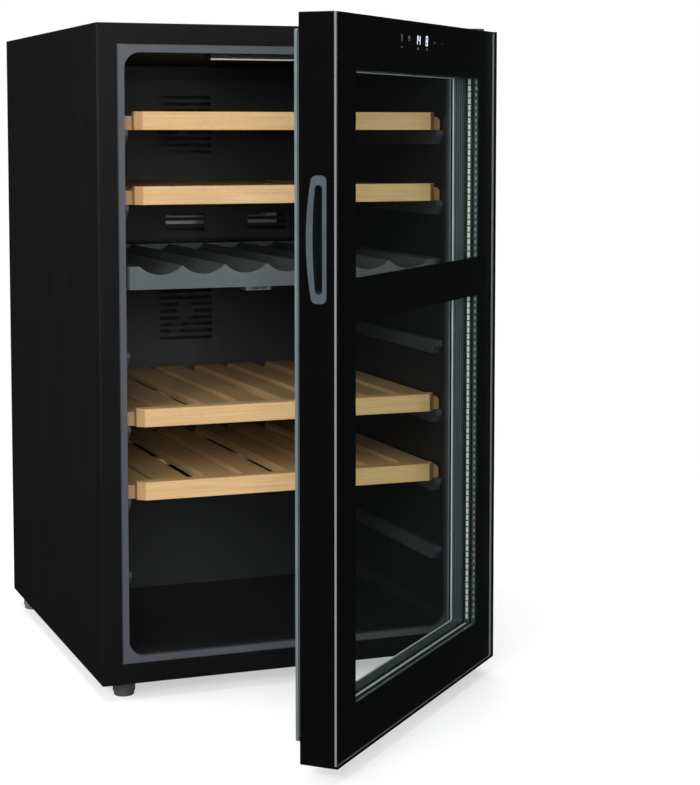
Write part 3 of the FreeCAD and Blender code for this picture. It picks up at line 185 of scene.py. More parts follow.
def end_growth(tree, shape, finish):
    """Make instances real, give them their finish and send them out."""
    real = add(tree, "GeometryNodeRealizeInstances", {"Geometry": shape}).outputs[0]
    painted = add(tree, "GeometryNodeSetMaterial",
                  {"Geometry": real, "Material": finish}).outputs[0]
    add(tree, "NodeGroupOutput", {0: painted})


zinc_plate = textured("zinc_plated_steel", "8b8f92", "b4b7b8", grain=0.0006, relief=0.00001,
                      roughness=(0.25, 0.4), patch=0.01, Metallic=1.0)
tree, size = begin_growth("back_screws", count=int, pitch=float, spread=float,
                          washer_radius=float, head_height=float)
rows = []
for side in (-1, 1):
    start = add(tree, "ShaderNodeCombineXYZ", {"X": add(
        tree, "ShaderNodeMath", {0: size["spread"], 1: side / 2}, operation="MULTIPLY").outputs[0]})
    step = add(tree, "ShaderNodeCombineXYZ", {"Z": size["pitch"]})
    rows.append(add(tree, "GeometryNodeMeshLine",
                    {"Count": size["count"], "Start Location": start.outputs[0],
                     "Offset": step.outputs[0]}).outputs[0])
heads = add(tree, "GeometryNodeJoinGeometry")
for sides, share, thick in ((24, 1.0, 0.4), (6, 0.7, 2.0)):
    radius = add(tree, "ShaderNodeMath", {0: size["washer_radius"], 1: share},
                 operation="MULTIPLY").outputs[0]
    depth = add(tree, "ShaderNodeMath", {0: size["head_height"], 1: thick},
                operation="MULTIPLY").outputs[0]
    disc = add(tree, "GeometryNodeMeshCylinder",
               {"Vertices": sides, "Radius": radius, "Depth": depth}).outputs["Mesh"]
    tree.links.new(disc, heads.inputs[0])
points = add(tree, "GeometryNodeJoinGeometry")
for row in rows:
    tree.links.new(row, points.inputs[0])
screws = add(tree, "GeometryNodeInstanceOnPoints",
             {"Points": points.outputs[0], "Instance": heads.outputs[0],
              "Rotation": (math.pi / 2, 0, 0)})
end_growth(tree, screws.outputs[0], zinc_plate)

shell_low, shell_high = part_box("side_panel_right")
back_low, back_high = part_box("back_panel")
back_face = shell_high.y
fold_middle = 0.0075
screw_count = 6
screw_margin = 0.03
back_screws = grow(
    "back_panel_screws", tree,
    {"count": screw_count, "spread": 2 * (shell_high.x - fold_middle),
     "pitch": (back_high.z - back_low.z - 2 * screw_margin) / (screw_count - 1),
     "washer_radius": 0.0044, "head_height": 0.0022},
    Matrix.Translation((0, back_face, back_low.z + screw_margin)))
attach(back_screws, "cabinet")

# ---------------------------------------------------------------- insulation
# Rigid polyurethane foam, blown between the shell and the liner. It shows only in the
# machine room, where it is faced with a black film that wrinkles slightly as it cures.

foam = textured("film_faced_foam", "1a1a1b", "26272a", grain=0.006, relief=0.0004,
                roughness=(0.5, 0.75), patch=0.04)
dress(foam, "foam_insulation")

# ---------------------------------------------------------------- inner liner
# One sheet of dark grey polystyrene, drawn hot over a mould with a fine matt texture.
# Painted shade darkens it in the deep box, and a painted sheen makes the flange paler.

finish, tree, spot = begin("vacuum_formed_liner")
flange_face = shell_low.y
flange_depth = 0.012
axes = add(tree, "ShaderNodeSeparateXYZ", {"Vector": spot})
# Painted sheen on the front flange; the deep box behind it is painted darker as shade.
flange_painted_sheen = add(tree, "ShaderNodeMapRange",
           {"Value": axes.outputs["Y"], "From Min": flange_face + flange_depth,
            "From Max": flange_face + 0.004}).outputs["Result"]
drift = add(tree, "ShaderNodeTexNoise", {"Vector": spot, "Scale": 1 / 0.07, "Detail": 4.0})
painted_shade_inside = add(tree, "ShaderNodeMixRGB", {"Fac": drift.outputs["Fac"], "Color1": linear("121416"),
                                        "Color2": linear("191b1e")}).outputs[0]
tone = add(tree, "ShaderNodeMixRGB",
           {"Fac": flange_painted_sheen, "Color1": painted_shade_inside, "Color2": linear("3e4246")}).outputs[0]
grain = add(tree, "ShaderNodeTexNoise", {"Vector": spot, "Scale": 1 / 0.0009, "Detail": 2.0})
bump = add(tree, "ShaderNodeBump", {"Height": grain.outputs["Fac"], "Distance": 0.00005})
close(tree, Base__Color=tone, Roughness=0.42, Normal=bump.outputs["Normal"],
      Specular__IOR__Level=0.4)
dress(finish, "inner_liner")
ledge_plastic = textured("liner_ledge_plastic", "33373b", "3f4448", grain=0.0009,
                         relief=0.00005, roughness=(0.38, 0.48))
dress(ledge_plastic, "shelf_ledges_left", "shelf_ledges_right")

# ---------------------------------------------------------------- zone divider
# Injection-moulded grey polystyrene with a satin spark-eroded texture; its scalloped top
# holds the lowest bottles of the upper zone. The sensor case clips in below its nose.

divider_plastic = textured("spark_textured_polystyrene", "424749", "4c5254", grain=0.001,
                           relief=0.00006, roughness=(0.36, 0.46))
dress(divider_plastic, "zone_divider")
sensor_plastic = textured("sensor_case_plastic", "3a3f43", "454a4e", grain=0.001,
                          relief=0.00006, roughness=(0.4, 0.5))
dress(sensor_plastic, "divider_sensor_case")

# ---------------------------------------------------------------- ceiling lamp
# A smoked acrylic lens over a strip of light-emitting diodes, which is switched off. Along the
# slanting nose of the lens a thin pale line is painted in as a painted highlight.

finish, tree, spot = begin("smoked_acrylic")
lens_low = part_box("ceiling_lamp_lens")[0]
nose_depth, nose_top = 0.0038, 0.0017
axes = add(tree, "ShaderNodeSeparateXYZ", {"Vector": spot})
ahead = add(tree, "ShaderNodeMath", {0: axes.outputs["Y"], 1: lens_low.y + nose_depth},
            operation="LESS_THAN").outputs[0]
under = add(tree, "ShaderNodeMath", {0: axes.outputs["Z"], 1: lens_low.z + nose_top},
            operation="LESS_THAN").outputs[0]
nose_painted_highlight = add(tree, "ShaderNodeMath", {0: ahead, 1: under}, operation="MULTIPLY").outputs[0]
haze = add(tree, "ShaderNodeTexNoise", {"Vector": spot, "Scale": 1 / 0.01, "Detail": 3.0}
           ).outputs["Fac"]
smoke = add(tree, "ShaderNodeMixRGB", {"Fac": haze, "Color1": linear("16191a"),
                                       "Color2": linear("202426")}).outputs[0]
# Painted highlight: the nose of the lens is coloured near white.
tone = add(tree, "ShaderNodeMixRGB", {"Fac": nose_painted_highlight, "Color1": smoke,
                                      "Color2": linear("d9d9cf")}).outputs[0]
gloss = add(tree, "ShaderNodeMapRange", {"Value": haze, "To Min": 0.2, "To Max": 0.35}
            ).outputs["Result"]
close(tree, Base__Color=tone, Roughness=gloss)
dress(finish, "ceiling_lamp_lens")
board_mask = textured("solder_mask_board", "21402c", "2b5138", grain=0.0015, relief=0.00003,
                      roughness=(0.3, 0.45), patch=0.01)
dress(board_mask, "ceiling_lamp_board")

# ---------------------------------------------------------------- air ducts, evaporators, fans
# Black moulded covers with louvre slots hide the roll-bonded aluminium plate evaporators.
# The fans are glass-filled nylon, a little dusty and matt.

duct_plastic = textured("duct_cover_polypropylene", "141618", "1b1e20", grain=0.0011,
                        relief=0.00007, roughness=(0.45, 0.6))
dress(duct_plastic, "duct_cover_upper", "duct_cover_lower")
bare_aluminium = textured("roll_bonded_aluminium", "a5a9ab", "c3c6c8", grain=0.002,
                          relief=0.00003, roughness=(0.3, 0.5), patch=0.02, Metallic=1.0)
dress(bare_aluminium, "evaporator_upper", "evaporator_lower")
nylon = textured("glass_filled_nylon", "1b1c1d", "262728", grain=0.0007, relief=0.00005,
                 roughness=(0.5, 0.65), patch=0.02)
dress(nylon, "fan_motor_upper", "fan_motor_lower", "fan_blades_upper", "fan_blades_lower")

# ---------------------------------------------------------------- machine room
# A welded steel compressor in thick black enamel stands on rubber mounts, with its relay
# clipped to its side, brazed copper pipes, a filter dryer and a moulded drain tray.

enamel = textured("compressor_enamel", "0d0d0e", "151617", grain=0.003, relief=0.00012,
                  roughness=(0.18, 0.3), Coat__Weight=0.4, Coat__Roughness=0.1)
dress(enamel, "compressor")
rubber = textured("natural_rubber", "1a1a1a", "242423", grain=0.0008, relief=0.00008,
                  roughness=(0.7, 0.85), patch=0.01)
dress(rubber, "compressor_mounts")
moulded_black = textured("moulded_black_plastic", "18191a", "212224", grain=0.0009,
                         relief=0.00006, roughness=(0.4, 0.55), patch=0.03)
dress(moulded_black, "compressor_relay", "control_box", "drain_tray", "cord_gland")

# Drawn copper tarnishes unevenly to brown, and most where it was heated for brazing.
finish, tree, spot = begin("tarnished_copper")
stain = add(tree, "ShaderNodeTexNoise", {"Vector": spot, "Scale": 1 / 0.02, "Detail": 6.0,
                                         "Roughness": 0.65}).outputs["Fac"]
tarnish = add(tree, "ShaderNodeMapRange",
              {"Value": stain, "From Min": 0.4, "From Max": 0.65}).outputs["Result"]
tone = add(tree, "ShaderNodeMixRGB", {"Fac": tarnish, "Color1": linear("c98257"),
                                      "Color2": linear("7a4a31")}).outputs[0]
gloss = add(tree, "ShaderNodeMapRange",
            {"Value": tarnish, "To Min": 0.25, "To Max": 0.5}).outputs["Result"]
close(tree, Base__Color=tone, Roughness=gloss, Metallic=1.0)
dress(finish, "refrigerant_pipes", "filter_dryer")

# ---------------------------------------------------------------- condenser
# A steel tube bent to and fro behind the cabinet, with thin steel wires spot-welded across
# it on both faces as cooling fins, dipped in black enamel after welding.

dip_enamel = textured("dipped_black_enamel", "101112", "1a1b1c", grain=0.002, relief=0.00008,
                      roughness=(0.3, 0.45), patch=0.03)
dress(dip_enamel, "condenser_coil")
dress(black_sheet, "condenser_clips")
tree, size = begin_growth("condenser_wires", count=int, pitch=float, length=float,
                          radius=float)
step = add(tree, "ShaderNodeCombineXYZ", {"X": size["pitch"]}).outputs[0]
line = add(tree, "GeometryNodeMeshLine", {"Count": size["count"], "Offset": step}).outputs[0]
wire = add(tree, "GeometryNodeMeshCylinder",
           {"Vertices": 8, "Radius": size["radius"], "Depth": size["length"]}).outputs["Mesh"]
row = add(tree, "GeometryNodeInstanceOnPoints", {"Points": line, "Instance": wire}).outputs[0]
end_growth(tree, row, dip_enamel)

coil_low, coil_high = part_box("condenser_coil")
wire_pitch = 0.0085
wire_radius = 0.0007
wire_overhang = 0.006
coil_radius = 0.0024
coil_bends = 0.04
wire_count = int((coil_high.x - coil_low.x - coil_bends) / wire_pitch)
clip_half_height = 0.009
wired_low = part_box("condenser_clips")[0].z + clip_half_height - coil_radius
wired_height = coil_high.z - wired_low
coil_plane = coil_high.y - coil_radius
for face, inset in (("front", -coil_radius - wire_radius), ("rear", coil_radius - wire_radius)):
    start = (-(wire_count - 1) * wire_pitch / 2, coil_plane + inset, wired_low + wired_height / 2)
    wires = grow(f"condenser_wires_{face}", tree,
                 {"count": wire_count, "pitch": wire_pitch, "radius": wire_radius,
                  "length": wired_height + 2 * wire_overhang}, Matrix.Translation(start))
    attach(wires, "cabinet")

# ---------------------------------------------------------------- levelling feet
# Moulded cups on zinc-plated studs, black at the front and galvanised grey behind, with
# upright ribs round the rim that fingers turn to level the cabinet.

foot_nylon = textured("foot_black_nylon", "313330", "3d3f3b", grain=0.0008, relief=0.00005,
                      roughness=(0.4, 0.55), patch=0.01)
foot_zinc = textured("foot_zinc_grey", "6b7375", "8a9294", grain=0.0012, relief=0.00004,
                     roughness=(0.35, 0.5), patch=0.008, Metallic=0.6)
foot_finishes = {"front": (foot_nylon, "foot_plastic"), "rear": (foot_zinc, "foot_zinc")}
rib_trees = {}
for end, (finish, slot) in foot_finishes.items():
    tree, size = begin_growth(f"foot_ribs_{end}", count=int, neck_radius=float, length=float,
                              radius=float)
    ring = add(tree, "GeometryNodeMeshCircle",
               {"Vertices": size["count"], "Radius": size["neck_radius"]}).outputs[0]
    rib = add(tree, "GeometryNodeMeshCylinder",
              {"Vertices": 8, "Radius": size["radius"], "Depth": size["length"]}).outputs["Mesh"]
    ribs = add(tree, "GeometryNodeInstanceOnPoints", {"Points": ring, "Instance": rib})
    end_growth(tree, ribs.outputs[0], finish)
    rib_trees[end] = tree
neck_radius = 0.0131
rib_radius = 0.0009
rib_count = 22
neck_low, neck_high = 0.006, 0.018
for end, (finish, slot) in foot_finishes.items():
    for hand in ("left", "right"):
        name = f"foot_{end}_{hand}"
        dress(finish, name)
        low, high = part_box(name)
        middle = Vector(((low.x + high.x) / 2, (low.y + high.y) / 2, (neck_low + neck_high) / 2))
        ribs = grow(f"{name}_ribs", rib_trees[end],
                    {"count": rib_count, "neck_radius": neck_radius, "radius": rib_radius,
                     "length": neck_high - neck_low}, Matrix.Translation(middle))
        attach(ribs, name)

# ---------------------------------------------------------------- beech shelves
# Steamed beech, planed and sanded, with a thin clear lacquer. Its grain is straight and
# pinkish brown, dotted with short dark ray flecks, and end grain drinks the lacquer darker.


def beech(name, grain_axis):
    """Beech whose grain runs along one axis of the cabinet."""
    line_length, line_width = 0.09, 0.0022
    fleck_length, fleck_width = 0.005, 0.0009
    finish, tree, spot = begin(name)
    shape = {}
    for part, along, across in (("line", line_length, line_width),
                                ("fleck", fleck_length, fleck_width),
                                ("board", 0.5, 0.035)):
        scale = [1 / along if axis == grain_axis else 1 / across for axis in range(3)]
        shape[part] = add(tree, "ShaderNodeMapping", {"Vector": spot, "Scale": scale}).outputs[0]
    lines = add(tree, "ShaderNodeTexNoise", {"Vector": shape["line"], "Scale": 1.0, "Detail": 4.0,
                                             "Distortion": 0.4}).outputs["Fac"]
    boards = add(tree, "ShaderNodeTexNoise", {"Vector": shape["board"], "Scale": 1.0,
                                              "Detail": 2.0}).outputs["Fac"]
    flecks = add(tree, "ShaderNodeTexNoise", {"Vector": shape["fleck"], "Scale": 1.0,
                                              "Detail": 1.0}).outputs["Fac"]
    marked = add(tree, "ShaderNodeMapRange", {"Value": flecks, "From Min": 0.62, "From Max": 0.72,
                                              "To Max": 0.55}).outputs["Result"]
    streak = add(tree, "ShaderNodeMapRange", {"Value": lines, "From Min": 0.3, "From Max": 0.7}
                 ).outputs["Result"]
    plain = add(tree, "ShaderNodeMixRGB", {"Fac": boards, "Color1": linear("b79669"),
                                           "Color2": linear("c6ab7f")}).outputs[0]
    grained = add(tree, "ShaderNodeMixRGB", {"Fac": streak, "Color1": linear("b48e61"),
                                             "Color2": plain}).outputs[0]
    flecked = add(tree, "ShaderNodeMixRGB", {"Fac": marked, "Color1": grained,
                                             "Color2": linear("875e3b")}).outputs[0]
    facing = add(tree, "ShaderNodeSeparateXYZ", {
        "Vector": add(tree, "ShaderNodeTexCoord").outputs["Normal"]}).outputs[grain_axis]
    end_grain = add(tree, "ShaderNodeMapRange", {
        "Value": add(tree, "ShaderNodeMath", {0: facing}, operation="ABSOLUTE").outputs[0],
        "From Min": 0.35, "From Max": 0.65, "To Max": 0.45}).outputs["Result"]
    tone = add(tree, "ShaderNodeMixRGB", {"Fac": end_grain, "Color1": flecked,
                                          "Color2": linear("825c3a")}).outputs[0]
    gloss = add(tree, "ShaderNodeMapRange", {"Value": lines, "To Min": 0.38, "To Max": 0.52}
                ).outputs["Result"]
    bump = add(tree, "ShaderNodeBump", {"Height": lines, "Distance": 0.00008}).outputs["Normal"]
    close(tree, Base__Color=tone, Roughness=gloss, Normal=bump, Specular__IOR__Level=0.35)
    return finish


crosswise_beech = beech("beech_grain_across", 0)
lengthwise_beech = beech("beech_grain_front_to_back", 1)
for number in (1, 2, 3, 4):
    dress(crosswise_beech, f"shelf_{number}_front_board")
    dress(lengthwise_beech, f"shelf_{number}_deck")

# ---------------------------------------------------------------- door frame
# An extruded ring of black anodised aluminium, closed round the foam of the door. Its
# mitred bars carry acetal bushes for the hinge pins.

hinge = [joint for joint in frame["joints"] if joint["name"] == "door_hinge"][0]
door_open = math.radians(-hinge["range_deg"][0])
hinge_line = Vector((hinge["pos_m"][0], hinge["pos_m"][1], 0))
door_place = Matrix.Translation(hinge_line) @ Matrix.Rotation(door_open, 4, "Z")
closed = door_place.inverted()


def door_box(name):
    """Lowest and highest corner of a door piece along the closed door's own axes."""
    spots = [closed @ vertex.co for vertex in nodes[name].data.vertices]
    return [Vector(map(pick, zip(*spots))) for pick in (min, max)]


frame_black = textured("black_anodised_frame", "040404", "070707", grain=0.0009, relief=0.00002,
                       roughness=(0.14, 0.2), patch=0.12, Specular__IOR__Level=0.15)
dress(frame_black, "door_frame")
acetal = textured("black_acetal", "131314", "1b1b1c", grain=0.001, relief=0.00003,
                  roughness=(0.3, 0.45), patch=0.01)
dress(acetal, "hinge_bushes")

# ---------------------------------------------------------------- glass and its printed border
# Three panes of float glass. The outer one is toughened, ground and polished round its
# edge, and fired with black ceramic ink behind everything but the two windows.


glass_low, glass_high = door_box("glass_outer")
pane_front = Vector((math.sin(door_open), -math.cos(door_open), 0))
rim_middle = hinge_line.dot(pane_front) - (glass_low.y + glass_high.y) / 2
rim_half = 0.0012


def float_glass(name, tint, mirror, edge):
    """Clear glass that mirrors at a slant, passes lamp light, and shows a ground edge."""
    finish, tree, spot = begin(name)
    smears = add(tree, "ShaderNodeTexNoise", {"Vector": spot, "Scale": 1 / 0.12, "Detail": 5.0})
    haze = add(tree, "ShaderNodeMapRange", {"Value": smears.outputs["Fac"], "From Min": 0.45,
                                            "From Max": 0.8, "To Min": 0.01, "To Max": 0.06})
    clear = add(tree, "ShaderNodeBsdfTransparent", {"Color": linear(tint)})
    shine = add(tree, "ShaderNodeBsdfGlossy",
                {"Color": (1, 1, 1, 1), "Roughness": haze.outputs["Result"]})
    slant = add(tree, "ShaderNodeFresnel", {"IOR": mirror})
    leaving = add(tree, "ShaderNodeNewGeometry").outputs["Backfacing"]
    entering = add(tree, "ShaderNodeMath", {0: 1.0, 1: leaving}, operation="SUBTRACT").outputs[0]
    share = add(tree, "ShaderNodeMath", {0: slant.outputs[0], 1: entering}, operation="MULTIPLY")
    pane = add(tree, "ShaderNodeMixShader",
               {0: share.outputs[0], 1: clear.outputs[0], 2: shine.outputs[0]})
    across = add(tree, "ShaderNodeVectorMath", {
        0: add(tree, "ShaderNodeTexCoord").outputs["Normal"],
        1: pane_front}, operation="DOT_PRODUCT")
    flat = add(tree, "ShaderNodeMath", {0: across.outputs["Value"]}, operation="ABSOLUTE")
    is_edge = add(tree, "ShaderNodeMath", {0: flat.outputs[0], 1: 0.9}, operation="LESS_THAN")
    ground = add(tree, "ShaderNodeTexNoise", {"Vector": spot, "Scale": 1 / 0.002})
    depth = add(tree, "ShaderNodeVectorMath", {0: spot, 1: pane_front}, operation="DOT_PRODUCT")
    offset = add(tree, "ShaderNodeMath", {0: depth.outputs["Value"], 1: rim_middle},
                 operation="SUBTRACT").outputs[0]
    away = add(tree, "ShaderNodeMath", {0: offset}, operation="ABSOLUTE").outputs[0]
    arris = add(tree, "ShaderNodeMath", {0: away, 1: rim_half}, operation="GREATER_THAN").outputs[0]
    polished = add(tree, "ShaderNodeMixRGB", {
        "Fac": ground.outputs["Fac"], "Color1": linear(edge), "Color2": linear("5c6062")})
    edge_tone = add(tree, "ShaderNodeMixRGB", {
        "Fac": arris, "Color1": polished.outputs[0], "Color2": linear("0c0d0e")})
    rim = add(tree, "ShaderNodeBsdfPrincipled",
              {"Base Color": edge_tone.outputs[0], "Roughness": 0.25})
    whole = add(tree, "ShaderNodeMixShader",
                {0: is_edge.outputs[0], 1: pane.outputs[0], 2: rim.outputs[0]})
    add(tree, "ShaderNodeOutputMaterial", {"Surface": whole.outputs[0]})
    return finish


dress(float_glass("toughened_float_glass", "fbfcfb", 1.2, "6c7072"), "glass_outer")
dress(float_glass("low_emissivity_glass", "fbfcfb", 1.06, "3c4446"),
      "glass_middle", "glass_inner")
ink = textured("fired_ceramic_ink", "030304", "060607", grain=0.0006, relief=0.00001,
               roughness=(0.35, 0.5), patch=0.1, Specular__IOR__Level=0.05)
dress(ink, "glass_print")

# ---------------------------------------------------------------- spacer bars
# Hollow aluminium bars between the panes, filled with drying beads. Short slots stamped along
# the face that looks into the gap let the beads reach the air; their pale rims are painted
# highlights.

spacer_metal = textured("mill_finish_spacer", "30383d", "414b51", grain=0.0008, relief=0.00004,
                        roughness=(0.3, 0.45), patch=0.02, Metallic=0.5)
dress(spacer_metal, "spacer_outer", "spacer_inner")
spacer_width = 0.0065
stand_up = Matrix.Rotation(math.pi / 2, 4, "X")
# Painted highlights: the inner row of slot rims is painted brighter than the outer row.
slot_sizes_and_highlights = {"spacer_outer": (0.0036, 0.0018, "78827c", "8d968f"),
              "spacer_inner": (0.0064, 0.003, "bcc5ba", "d4dbcf")}
for name, (slot_length, slot_breadth, dark, light) in slot_sizes_and_highlights.items():
    slot_highlight_metal = textured(f"{name}_slot_painted_highlights", dark, light, grain=0.0004, relief=0.00002,
                          roughness=(0.3, 0.4), patch=0.004, Metallic=0.2)
    tree, size = begin_growth(f"{name}_slots", width=float, height=float, pitch=float,
                              length=float, breadth=float, proud=float)
    loop = add(tree, "GeometryNodeCurvePrimitiveQuadrilateral",
               {"Width": size["width"], "Height": size["height"]}).outputs[0]
    spots = add(tree, "GeometryNodeResampleCurve",
                {"Curve": loop, "Length": size["pitch"]}, mode="LENGTH").outputs[0]
    tangent = add(tree, "GeometryNodeInputTangent").outputs[0]
    turn = add(tree, "FunctionNodeAlignRotationToVector", {"Vector": tangent}, axis="X").outputs[0]
    slot_size = add(tree, "ShaderNodeCombineXYZ",
                    {"X": size["length"], "Y": size["proud"], "Z": size["breadth"]}).outputs[0]
    slot_rim = add(tree, "GeometryNodeMeshCube", {"Size": slot_size}).outputs["Mesh"]
    slots = add(tree, "GeometryNodeInstanceOnPoints",
                {"Points": spots, "Instance": slot_rim, "Rotation": turn}).outputs[0]
    end_growth(tree, slots, slot_highlight_metal)
    low, high = door_box(name)
    middle = (low + high) / 2
    slots = grow(f"{name}_slots", tree,
                 {"width": high.x - low.x - 2 * spacer_width,
                  "height": high.z - low.z - 2 * spacer_width, "pitch": 0.008,
                  "length": slot_length, "breadth": slot_breadth, "proud": 0.0003},
                 door_place @ Matrix.Translation(middle) @ stand_up)
    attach(slots, "door")

# ---------------------------------------------------------------- inner reveal of the door
# A ribbed PVC extrusion frames the glass from behind, blue-black. Its ribs and the bead along the
# rear edge, where it snaps over the foam, are painted paler as painted highlights.

reveal_pvc = textured("ribbed_reveal_pvc", "1f262b", "293137", grain=0.001, relief=0.00005,
                      roughness=(0.35, 0.45), patch=0.06)
dress(reveal_pvc, "door_reveal")
# Painted highlights: the ribs and the rear bead are coloured paler than the reveal itself.
rib_highlight_pvc = textured("reveal_rib_pvc", "3f4a52", "4a565f", grain=0.001, relief=0.00004,
                   roughness=(0.3, 0.4), patch=0.05)
bead_highlight_pvc = textured("reveal_bead_pvc", "a3abab", "b8bfbf", grain=0.001, relief=0.00004,
                    roughness=(0.3, 0.4), patch=0.04)
border_free, border_hinge, border_top, border_bottom = 0.059, 0.0575, 0.059, 0.0566
door_low, door_high = door_box("door_frame")
window_low = Vector((door_low.x + border_free, 0, door_low.z + border_bottom))
window_high = Vector((door_high.x - border_hinge, 0, door_high.z - border_top))
window_middle = (window_low + window_high) / 2
window_size = window_high - window_low
bead_trees = {}
for part, finish in (("ribs", rib_highlight_pvc), ("bead", bead_highlight_pvc)):
    tree, size = begin_growth(f"reveal_{part}", width=float, height=float, corner=float,
                              radius=float, count=int, pitch=float)
    loop = add(tree, "GeometryNodeCurvePrimitiveQuadrilateral",
               {"Width": size["width"], "Height": size["height"]}).outputs[0]
    rounded = add(tree, "GeometryNodeFilletCurve",
                  {"Curve": loop, "Count": 4, "Radius": size["corner"]}, mode="POLY").outputs[0]
    section = add(tree, "GeometryNodeCurvePrimitiveCircle",
                  {"Resolution": 10, "Radius": size["radius"]}).outputs[0]
    bar = add(tree, "GeometryNodeCurveToMesh",
              {"Curve": rounded, "Profile Curve": section}).outputs[0]
    step = add(tree, "ShaderNodeCombineXYZ", {"Z": size["pitch"]}).outputs[0]
    line = add(tree, "GeometryNodeMeshLine", {"Count": size["count"], "Offset": step}).outputs[0]
    copies = add(tree, "GeometryNodeInstanceOnPoints", {"Points": line, "Instance": bar})
    end_growth(tree, copies.outputs[0], finish)
    bead_trees[part] = tree
reveal_low, reveal_high = door_box("door_reveal")
for part, radius, count, depth in (("ribs", 0.0005, 4, reveal_low.y + 0.003),
                                   ("bead", 0.0011, 1, reveal_high.y - 0.0011)):
    lie = Matrix.Translation((window_middle.x, depth, window_middle.z))
    bars = grow(f"reveal_{part}", bead_trees[part],
                {"width": window_size.x, "height": window_size.z, "corner": 0.003,
                 "radius": radius, "count": count, "pitch": -0.003},
                door_place @ lie @ stand_up)
    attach(bars, "door")

# ---------------------------------------------------------------- door gasket
# Soft magnetic PVC with a hollow bellows, pressed into a groove round the back of the door.
# Plasticised vinyl is smooth and slightly waxy, so it shows pale blunt highlights.

gasket_vinyl = textured("magnetic_gasket_vinyl", "4d5659", "5e676a", grain=0.0015,
                        relief=0.00005, roughness=(0.32, 0.45), patch=0.03)
dress(gasket_vinyl, "door_gasket")

# ---------------------------------------------------------------- recessed handle
# A slate grey satin ABS bezel sits proud of the door's free edge round a deep cup that fingers
# pull from behind; the cup is painted darker as painted shade. Hands polish the bezel a little.

bezel_abs = textured("slate_satin_abs", "30383d", "3a4347", grain=0.0008, relief=0.00004,
                     roughness=(0.28, 0.4), patch=0.02)
dress(bezel_abs, "handle_bezel")
# Painted shade: the cup is coloured darker than the bezel because it lies in the recess.
cup_painted_shade_abs = textured("handle_cup_abs", "0e1315", "171d20", grain=0.0009, relief=0.00004,
                   roughness=(0.3, 0.42), patch=0.02)
dress(cup_painted_shade_abs, "handle_cup")

# ---------------------------------------------------------------- display
# A touch control glued behind the outer glass: two temperatures in white seven-segment
# digits, with small marks for the zones, the lamp, the power and the set keys.

dress(board_mask, "display_module")
finish, tree, spot = begin("lit_white_segments")
flicker = add(tree, "ShaderNodeTexNoise", {"Vector": spot, "Scale": 1 / 0.002}).outputs["Fac"]
glow = add(tree, "ShaderNodeMixRGB", {"Fac": flicker, "Color1": linear("c9ccff"),
                                      "Color2": linear("ffffff")}).outputs[0]
close(tree, Base__Color=glow, Roughness=0.5, Emission__Color=glow, Emission__Strength=1.6)
segment_light = finish
finish, tree, spot = begin("dim_printed_marks")
wear = add(tree, "ShaderNodeTexNoise", {"Vector": spot, "Scale": 1 / 0.002}).outputs["Fac"]
grey = add(tree, "ShaderNodeMixRGB", {"Fac": wear, "Color1": linear("6d7076"),
                                      "Color2": linear("8f9298")}).outputs[0]
close(tree, Base__Color=grey, Roughness=0.5, Emission__Color=grey, Emission__Strength=0.35)
mark_light = finish

display_low, display_high = door_box("display_module")
symbol_front = glass_high.y + 0.0001
symbol_depth = 0.0001
digit_height, digit_width, stroke = 0.0113, 0.0056, 0.0009
digit_lean = 0.08
display_middle = (display_low + display_high) / 2
digits_z = display_middle.z + 0.0002


def flat_shape(mesh, outline):
    """A thin plate with the given outline, standing in the plane of the glass."""
    fronts = [mesh.verts.new((x, symbol_front, z)) for x, z in outline]
    backs = [mesh.verts.new((x, symbol_front + symbol_depth, z)) for x, z in outline]
    mesh.faces.new(fronts)
    mesh.faces.new(backs[::-1])
    for index, corner in enumerate(fronts):
        mesh.faces.new((fronts[index - 1], backs[index - 1], backs[index], corner))


def bar(mesh, start, end, thick):
    """A straight stroke with pointed ends, like one segment of a digit."""
    run = Vector((end[0] - start[0], end[1] - start[1]))
    ahead = run.normalized() * thick / 2
    side = Vector((-ahead.y, ahead.x))
    a, b = Vector(start), Vector(end)
    corners = (a, a + ahead + side, b - ahead + side, b, b - ahead - side, a + ahead - side)
    flat_shape(mesh, [tuple(one) for one in corners])


def ring(mesh, middle, radius, thick, start=0.0, sweep=2 * math.pi, steps=20):
    """A ring, or part of one, drawn as short strokes."""
    turns = [start + sweep * step / steps for step in range(steps + 1)]
    spots = [(middle[0] + radius * math.cos(turn), middle[1] + radius * math.sin(turn))
             for turn in turns]
    for first, second in zip(spots, spots[1:]):
        bar(mesh, first, second, thick)


SEGMENTS = {"1": "bc", "4": "bcfg", "8": "abcdefg"}
ENDS = {"a": ((0, 2), (1, 2)), "b": ((1, 1), (1, 2)), "c": ((1, 0), (1, 1)),
        "d": ((0, 0), (1, 0)), "e": ((0, 0), (0, 1)), "f": ((0, 1), (0, 2)),
        "g": ((0, 1), (1, 1))}


def digit(mesh, number, x, z):
    """One leaning seven-segment digit whose lower left corner is at x, z."""
    across, up = digit_width - stroke, (digit_height - stroke) / 2
    for segment in SEGMENTS[number]:
        spots = [(x + across * right + digit_lean * up * high, z + up * high)
                 for right, high in ENDS[segment]]
        bar(mesh, *spots, stroke)


def keep(mesh, name, finish, body, place=None):
    """Turn built faces into a piece, outward side out, that rides on a body."""
    bmesh.ops.remove_doubles(mesh, verts=mesh.verts, dist=1e-7)
    bmesh.ops.recalc_face_normals(mesh, faces=mesh.faces)
    data = bpy.data.meshes.new(name)
    mesh.to_mesh(data)
    mesh.free()
    data.materials.append(finish)
    if place is not None:
        data.transform(place)
    made = bpy.data.objects.new(name, data)
    bpy.context.scene.collection.objects.link(made)
    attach(made, body)
    return made


digit_gap = 0.0026
pair_x, single_x = door_low.x + 0.2318, door_low.x + 0.2602
mesh = bmesh.new()
for number, x in (("1", pair_x - digit_width / 2), ("4", pair_x + digit_width / 2 + digit_gap),
                  ("8", single_x)):
    digit(mesh, number, x, digits_z - digit_height / 2 + stroke / 2)
keep(mesh, "display_digits", segment_light, "door", door_place)

